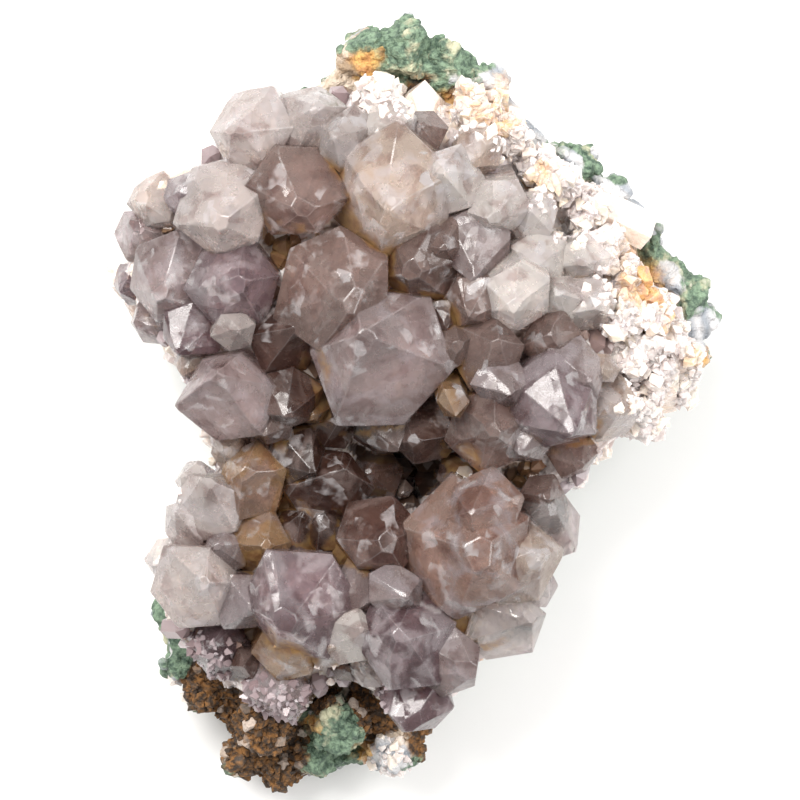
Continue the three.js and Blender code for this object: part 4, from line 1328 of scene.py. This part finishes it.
def scatter_tree():
    """Builds the tree that scatters small shapes over a surface."""
    tree = bpy.data.node_groups.new("Scatter_on_surface", "GeometryNodeTree")
    socket(tree, "Geometry", "NodeSocketGeometry")
    for name, (kind, value) in SCATTER_INPUTS.items():
        socket(tree, name, kind, value)
    socket(tree, "Geometry", "NodeSocketGeometry", out=True)
    given = tree.nodes.new("NodeGroupInput").outputs
    result = tree.nodes.new("NodeGroupOutput")
    number = {"data_type": "FLOAT"}
    room = add(tree, "GeometryNodeInputNamedAttribute", number, Name="room").outputs["Attribute"]
    spread = add(
        tree,
        "GeometryNodeDistributePointsOnFaces",
        {"distribute_method": "POISSON"},
        Mesh=given["Geometry"],
        Distance_Min=given["Spacing"],
        Density_Max=MOST_PER_AREA,
        Density_Factor=room,
        Seed=given["Seed"],
    ).outputs
    size = random_between(tree, "FLOAT", given["Smallest"], given["Largest"], given["Seed"])
    down = scaled(tree, scaled(tree, size, given["Sink"]), -MM)
    offset = vector_node(tree, "SCALE", spread["Normal"], Scale=down)
    sunk = add(tree, "GeometryNodeSetPosition", {}, Geometry=spread["Points"], Offset=offset).outputs[0]
    wander = random_between(tree, "FLOAT_VECTOR", (-1, -1, -1), (1, 1, 1), given["Seed"])
    lean = vector_node(tree, "SCALE", wander, Scale=given["Tilt"])
    upward = vector_node(tree, "ADD", spread["Normal"], lean)
    aimed = add(tree, "FunctionNodeAlignRotationToVector", {"axis": "Z"}, Vector=upward).outputs[0]
    turn = random_between(tree, "FLOAT", 0.0, 2 * math.pi, given["Seed"])
    about = add(tree, "FunctionNodeAxisAngleToRotation", {}, Axis=(0, 0, 1), Angle=turn).outputs[0]
    local = {"rotation_space": "LOCAL"}
    turned = add(tree, "FunctionNodeRotateRotation", local, i0=aimed, i1=about).outputs[0]
    shapes = add(
        tree,
        "GeometryNodeCollectionInfo",
        {},
        Collection=given["Shapes"],
        Separate_Children=True,
        Reset_Children=True,
    ).outputs[0]
    placed = add(
        tree,
        "GeometryNodeInstanceOnPoints",
        {},
        Points=sunk,
        Instance=shapes,
        Pick_Instance=True,
        Rotation=turned,
        Scale=size,
    ).outputs[0]
    tone = random_between(tree, "FLOAT", 0.0, 1.0, given["Seed"])
    toned = add(
        tree,
        "GeometryNodeStoreNamedAttribute",
        {"data_type": "FLOAT", "domain": "INSTANCE"},
        Geometry=placed,
        Name="tone",
        Value=tone,
    ).outputs[0]
    real = add(tree, "GeometryNodeRealizeInstances", {}, Geometry=toned).outputs[0]
    finished = add(tree, "GeometryNodeSetMaterial", {}, Geometry=real, Material=given["Finish"]).outputs[0]
    tree.links.new(finished, result.inputs["Geometry"])
    return tree


SCATTER = scatter_tree()


def shape_set(name, shapes):
    """A collection of small shapes to scatter, from meshes in millimetres."""
    kept = bpy.data.collections.new(name)
    for number, shape in enumerate(shapes):
        for v in shape.verts:
            v.co = v.co * MM
        mesh = new_mesh(f"{name}_{number}", shape)
        kept.objects.link(bpy.data.objects.new(mesh.name, mesh))
    return kept


def scattered(name, ground, room, material, carrier, shapes, spacing, sizes, tilt, sink, seed):
    """Scatters shapes over a copy of a ground mesh, as one plain mesh piece.

    Spacing and sizes are in millimetres. Tilt is how far they lean, sink how deep they sit, in sizes."""
    mesh = ground.copy()
    value_layer(mesh, "room", room)
    work = new_object(name + "_work", mesh)
    nodes = work.modifiers.new("scatter", "NODES")
    nodes.node_group = SCATTER
    values = {
        "Shapes": shapes,
        "Spacing": spacing * MM,
        "Smallest": sizes[0],
        "Largest": sizes[1],
        "Tilt": tilt,
        "Sink": sink,
        "Seed": seed,
        "Finish": material,
    }
    for item in SCATTER.interface.items_tree:
        if item.item_type == "SOCKET" and item.in_out == "INPUT" and item.name in values:
            nodes[item.identifier] = values[item.name]
    return add_piece(name, modified(work, name), material, carrier)


# %% [markdown]
# Druse: the small crystals that fill the gaps between the large ones. Each is a short six-sided point
# cut as the large ones are, with fewer faces. They stand thickest on the crust's upper side where no
# large crystal covers it.

# %% Druse of small crystals
DRUSE_SHAPES = 5


def small_crystal(index):
    """A short quartz point of radius 1, standing on the origin."""
    points = [Vector((0.25 * (chance(index, 3) - 0.5), 0.25 * (chance(index, 4) - 0.5), 1.9))]
    for face in range(6):
        angle = math.radians(60 * face + 16 * (chance(index, 10 + face) - 0.5))
        out = 0.85 + 0.3 * chance(index, 20 + face)
        side = (out * math.cos(angle), out * math.sin(angle))
        points.append(Vector((*side, 0.6 + 0.5 * chance(index, 30 + face))))
        points.append(Vector((*side, -1.6)))
    planes = planes_of(hull(points))
    for cut in range(3):
        aim = towards(Vector((0, 0, 1)), math.radians(20 + 50 * chance(index, 40 + cut)), 2.1 * cut)
        planes.append(slice_plane(points, aim, 0.08 + 0.1 * chance(index, 50 + cut)))
    return inside_planes(planes, CENTRE)


druse_shapes = shape_set("druse_shapes", [small_crystal(700 + k) for k in range(DRUSE_SHAPES)])
crust_up = upward(crust_mesh)
crust_open = (1 - buried(crust_places, 0.6)) * np.clip(3 * crust_up, 0, 1)
druse_room = crust_open * np.clip(1 - 1.6 * crust_broken, 0, 1)


def druse_finish():
    """Small crystals: from clear to tea brown, pale or greyish by each one's own tone, darker and browner
    deep between neighbours as painted shade, and stained by the iron round them.
    """
    made, tree, shader, _ = new_material("druse_quartz")
    tone = attribute(tree, "tone")
    pale = mix_colour(tree, tone, paint(206, 194, 198), paint(164, 140, 142))
    # Painted shade: druse deep between its neighbours is darker and browner
    with_deep_shade = mix_colour(tree, ramp(tree, attribute(tree, "shelter"), 0.1, 0.6), pale, paint(150, 112, 84))
    stained = stain(tree, with_deep_shade)
    tree.links.new(stained["Colour"], shader.inputs["Base Color"])
    rough = ramp(tree, stained["Mask"], 0.0, 1.0, 0.14, 0.5)
    tree.links.new(rough, shader.inputs["Roughness"])
    shader.inputs["IOR"].default_value = QUARTZ_IOR
    shader.inputs["Transmission Weight"].default_value = 0.45
    return made


druse_quartz = druse_finish()
scattered(
    "druse", crust_mesh, druse_room, druse_quartz, QUARTZ,
    shapes=druse_shapes, spacing=1.5, sizes=(0.7, 1.5), tilt=0.45, sink=0.5, seed=4,
)

# %% [markdown]
# Where the wall broke, the quartz is white and glassy: large blocks first, then smaller ones, then
# sugary grains. The large blocks stand where the part's solid has them. The rest is scattered.

# %% Broken quartz
BROKEN_BLOCKS = [
    (16.2, 27, 29.5, 2.9), (20.4, 23.4, 27.5, 2.7), (22, 18.8, 28.5, 2.7), (25, 14.6, 27, 2.8),
    (24.8, 10.6, 29.5, 2.8), (28, 10.4, 26, 2.8), (27, 6.4, 28.5, 3), (30.8, 6.6, 24.5, 2.8),
    (28.6, 3, 26.5, 2.7), (31.6, 3, 22.5, 2.2), (26.6, -0.8, 26.5, 2.8), (7, 35.4, 26.5, 2.6),
    (11, 32, 27.5, 2.7), (14, 29, 28, 2.2), (-4.4, 37, 26.5, 2.4),
]
GOLDEN_ANGLE = math.pi * (3 - math.sqrt(5))


def lump_planes(place, radius, tall, seed, count):
    """Planes all round a place at uneven distances: a broken block or grain."""
    planes = []
    for face in range(count):
        height = 1 - 2 * (face + 0.5) / count
        angle = face * GOLDEN_ANGLE + 2 * math.pi * chance(seed, 90)
        ring = math.sqrt(1 - height * height)
        normal = Vector((ring * math.cos(angle), ring * math.sin(angle), height / tall))
        squash = normal.length
        normal.normalize()
        planes.append((normal, radius * (0.85 + 0.2 * chance(seed, face)) / squash + normal.dot(place)))
    return planes


def block(place, radius, tall, seed, count, worn):
    """One broken block of quartz with worn edges."""
    planes = lump_planes(place, radius, tall, seed, count)
    sharp = inside_planes(planes, place)
    return inside_planes(planes + edge_planes(sharp, worn), place)


def broken_finish():
    """Broken quartz: white, glassy and granular, yellow where iron ran over it."""
    made, tree, shader, _ = new_material("broken_quartz")
    clouds = group(tree, CLOUDS, Size=420.0).outputs["Clouds"]
    sugar = group(tree, SUGAR, Size=1500.0).outputs
    white = mix_colour(tree, clouds, paint(206, 194, 191), paint(234, 226, 222))
    grey = mix_colour(tree, scaled(tree, sugar["Shade"], 0.2), white, paint(206, 194, 190))
    stained = stain(tree, toned(tree, grey))
    tree.links.new(stained["Colour"], shader.inputs["Base Color"])
    tree.links.new(ramp(tree, clouds, 0.0, 1.0, 0.12, 0.4), shader.inputs["Roughness"])
    shader.inputs["IOR"].default_value = QUARTZ_IOR
    softened(shader)
    bump = add(tree, "ShaderNodeBump", {}, Strength=0.4, Distance=0.0004, Height=sugar["Height"])
    tree.links.new(bump.outputs["Normal"], shader.inputs["Normal"])
    return made


broken_quartz = broken_finish()
BLOCK_TALL = 1.3
BLOCK_FACES = 8
BLOCK_EDGE = 0.55
BLOCK_SUNK = 0.25


def broken_blocks():
    """The part's blocks as one mesh of closed lumps with a broken surface."""
    whole = bmesh.new()
    tone_layer = whole.verts.layers.float.new("tone")
    for index, (x, y, top, radius) in enumerate(BROKEN_BLOCKS):
        place = Vector((x, y, top - BLOCK_TALL * radius))
        planes = lump_planes(place, radius, BLOCK_TALL, 600 + index, BLOCK_FACES)
        points, triangles, _ = divided(inside_planes(planes, place), BLOCK_EDGE, np.array([(0.0, 0.0, 0.0)]))
        copies = []
        for point in points:
            height, tone = broken_relief(point, BROKEN_FACET)
            new = whole.verts.new((point + (point - place).normalized() * (height - BLOCK_SUNK)) * MM)
            new[tone_layer] = min(1, max(0, tone))
            copies.append(new)
        for corners in triangles:
            whole.faces.new([copies[k] for k in corners])
    return new_mesh("broken_blocks", whole)


blocks_mesh = broken_blocks()
blocks_places = places_of(blocks_mesh)
value_layer(blocks_mesh, "iron", 0.6 * spotted(IRON_SPOTS, blocks_places))
value_layer(blocks_mesh, "shelter", 0.5 * shelter_of(blocks_places))
add_piece("broken_blocks", blocks_mesh, broken_quartz, QUARTZ)

chip_shapes = shape_set("chip_shapes", [block(CENTRE, 1, 1.5, 800 + k, 9, 0.08) for k in range(8)])
grain_shapes = shape_set("grain_shapes", [block(CENTRE, 1, 1.1, 820 + k, 8, 0.2) for k in range(6)])
splinters = [inside_planes(lump_planes(CENTRE, 1, 1.5, 840 + k, 8), CENTRE) for k in range(8)]
splinter_shapes = shape_set("splinter_shapes", splinters)
slope_top = np.clip(3 * crust_up - 0.6, 0, 1) * (1 - buried(crust_places, 1.5))
scattered(
    "slope_points",
    crust_mesh,
    np.clip(1.4 * crust_broken - 0.2, 0, 1) * slope_top,
    broken_quartz,
    QUARTZ,
    shapes=druse_shapes, spacing=3.4, sizes=(1.5, 2.7), tilt=0.5, sink=0.95, seed=20,
)
on_slope = np.clip(2 * crust_up + 0.3 + 1.5 * crust_side, 0, 1) * (1 - buried(crust_places, 2.5))
scattered(
    "quartz_chips", crust_mesh, np.clip(1.4 * crust_broken, 0, 1) * on_slope, broken_quartz, QUARTZ,
    shapes=chip_shapes, spacing=2.3, sizes=(0.7, 1.5), tilt=0.4, sink=1.05, seed=6,
)
scattered(
    "quartz_grains",
    crust_mesh,
    np.clip(crust_broken * 1.6 + 0.15, 0, 1) * on_slope,
    broken_quartz,
    QUARTZ,
    shapes=grain_shapes, spacing=0.75, sizes=(0.15, 0.5), tilt=0.5, sink=0.9, seed=8,
)
scattered(
    "block_grains", blocks_mesh, 0.8 * (1 - buried(blocks_places, 0.4)), broken_quartz, QUARTZ,
    shapes=splinter_shapes, spacing=0.7, sizes=(0.2, 0.7), tilt=0.6, sink=0.8, seed=10,
)

# %% [markdown]
# Near the slope the crystals' own sides are rough with grains that grew on them.

# %% Grains on the crystals
GRAIN_SPOTS = [
    (11, 32, 3, 0.8), (16, 26, 3, 0.8), (19, 21, 2.6, 0.7), (24, 14, 3, 0.8), (26, 8, 3, 0.8),
    (27, 1, 3, 0.8), (-17.2, -35.2, 4.6, 1), (-12, -34, 2.4, 0.9), (-24.4, -31, 3.6, 0.8),
    (-5.5, -35, 2.4, 0.6), (-29, -10.5, 2, 0.5), (-3.5, 35.5, 2.4, 0.6), (6, 34, 2.4, 0.6),
]
for grown, finish in (("crystals_milky", broken_quartz), ("crystals_lilac", druse_quartz)):
    ground = crystals[grown]
    ground_places = places_of(ground.data)
    scattered(
        ground.name + "_grains",
        ground.data,
        spotted(GRAIN_SPOTS, ground_places, seed=13.0) * (1 - buried(ground_places, 0.6)),
        finish,
        QUARTZ,
        shapes=splinter_shapes, spacing=0.7, sizes=(0.2, 0.6), tilt=0.6, sink=0.7, seed=16,
    )

# %% [markdown]
# The skin's green knobs and the crumbs of brown iron rock are scattered over the rind. A knob is a
# bumpy ball of a few dozen faces, a crumb is angular.

# %% Knobs and crumbs on the rind
LOWEST_KNOB = 1.6


def knob(index):
    """A bumpy, flattened ball of radius 1."""
    ball = bmesh.new()
    bmesh.ops.create_icosphere(ball, subdivisions=2, radius=1)
    for v in ball.verts:
        swell = 1 + 0.28 * noise.noise(v.co * 1.6 + Vector((index * 3.7, 0, 0)))
        v.co = Vector((v.co.x * swell, v.co.y * swell, v.co.z * 0.8 * swell))
    return ball


above_floor = np.where(rind_places[:, 2] > LOWEST_KNOB, 1, 0)
knob_shapes = shape_set("knob_shapes", [knob(k) for k in range(5)])
scattered(
    "green_knobs",
    rind_mesh,
    np.clip(1.5 * rind_green - rind_brown - 0.3, 0, 1) * above_floor,
    rock_skin,
    ROCK,
    shapes=knob_shapes, spacing=1.7, sizes=(0.35, 1.0), tilt=0.3, sink=0.35, seed=12,
)
scattered(
    "iron_crumbs",
    rind_mesh,
    np.clip(1.4 * rind_brown - 0.2, 0, 1) * above_floor,
    rock_skin,
    ROCK,
    shapes=grain_shapes, spacing=0.75, sizes=(0.25, 0.65), tilt=0.8, sink=0.2, seed=14,
)
scattered(
    "agate_grains",
    rind_mesh,
    np.clip(1.5 * rind_agate - rind_brown - 0.3, 0, 1) * np.where(rind_places[:, 1] < -30, 1, 0),
    broken_quartz,
    ROCK,
    shapes=splinter_shapes, spacing=0.7, sizes=(0.2, 0.6), tilt=0.9, sink=0.3, seed=18,
)
for used in (druse_shapes, chip_shapes, grain_shapes, splinter_shapes, knob_shapes):
    for shape in list(used.objects):
        bpy.data.objects.remove(shape)
    bpy.data.collections.remove(used)

# %% [markdown]
# A pale floor under the piece.

# %% Floor
floor_mesh = bpy.data.meshes.new("floor")
FLOOR_HALF = 1.5
FLOOR_DROP = -0.0001
signs = ((-1, -1), (1, -1), (1, 1), (-1, 1))
corners = [(x * FLOOR_HALF, y * FLOOR_HALF, FLOOR_DROP) for x, y in signs]
floor_mesh.from_pydata(corners, [], [(0, 1, 2, 3)])
floor = new_object("floor", floor_mesh)
floor_paint, floor_tree, floor_shader, _ = new_material("floor_paper")
floor_grain = noise_of(floor_tree, place_in(floor_tree), 40.0)
floor_tone = mix_colour(floor_tree, floor_grain, (0.86, 0.86, 0.86), (0.9, 0.9, 0.9))
floor_tree.links.new(floor_tone, floor_shader.inputs["Base Color"])
floor_shader.inputs["Roughness"].default_value = 0.9
floor_mesh.materials.append(floor_paint)
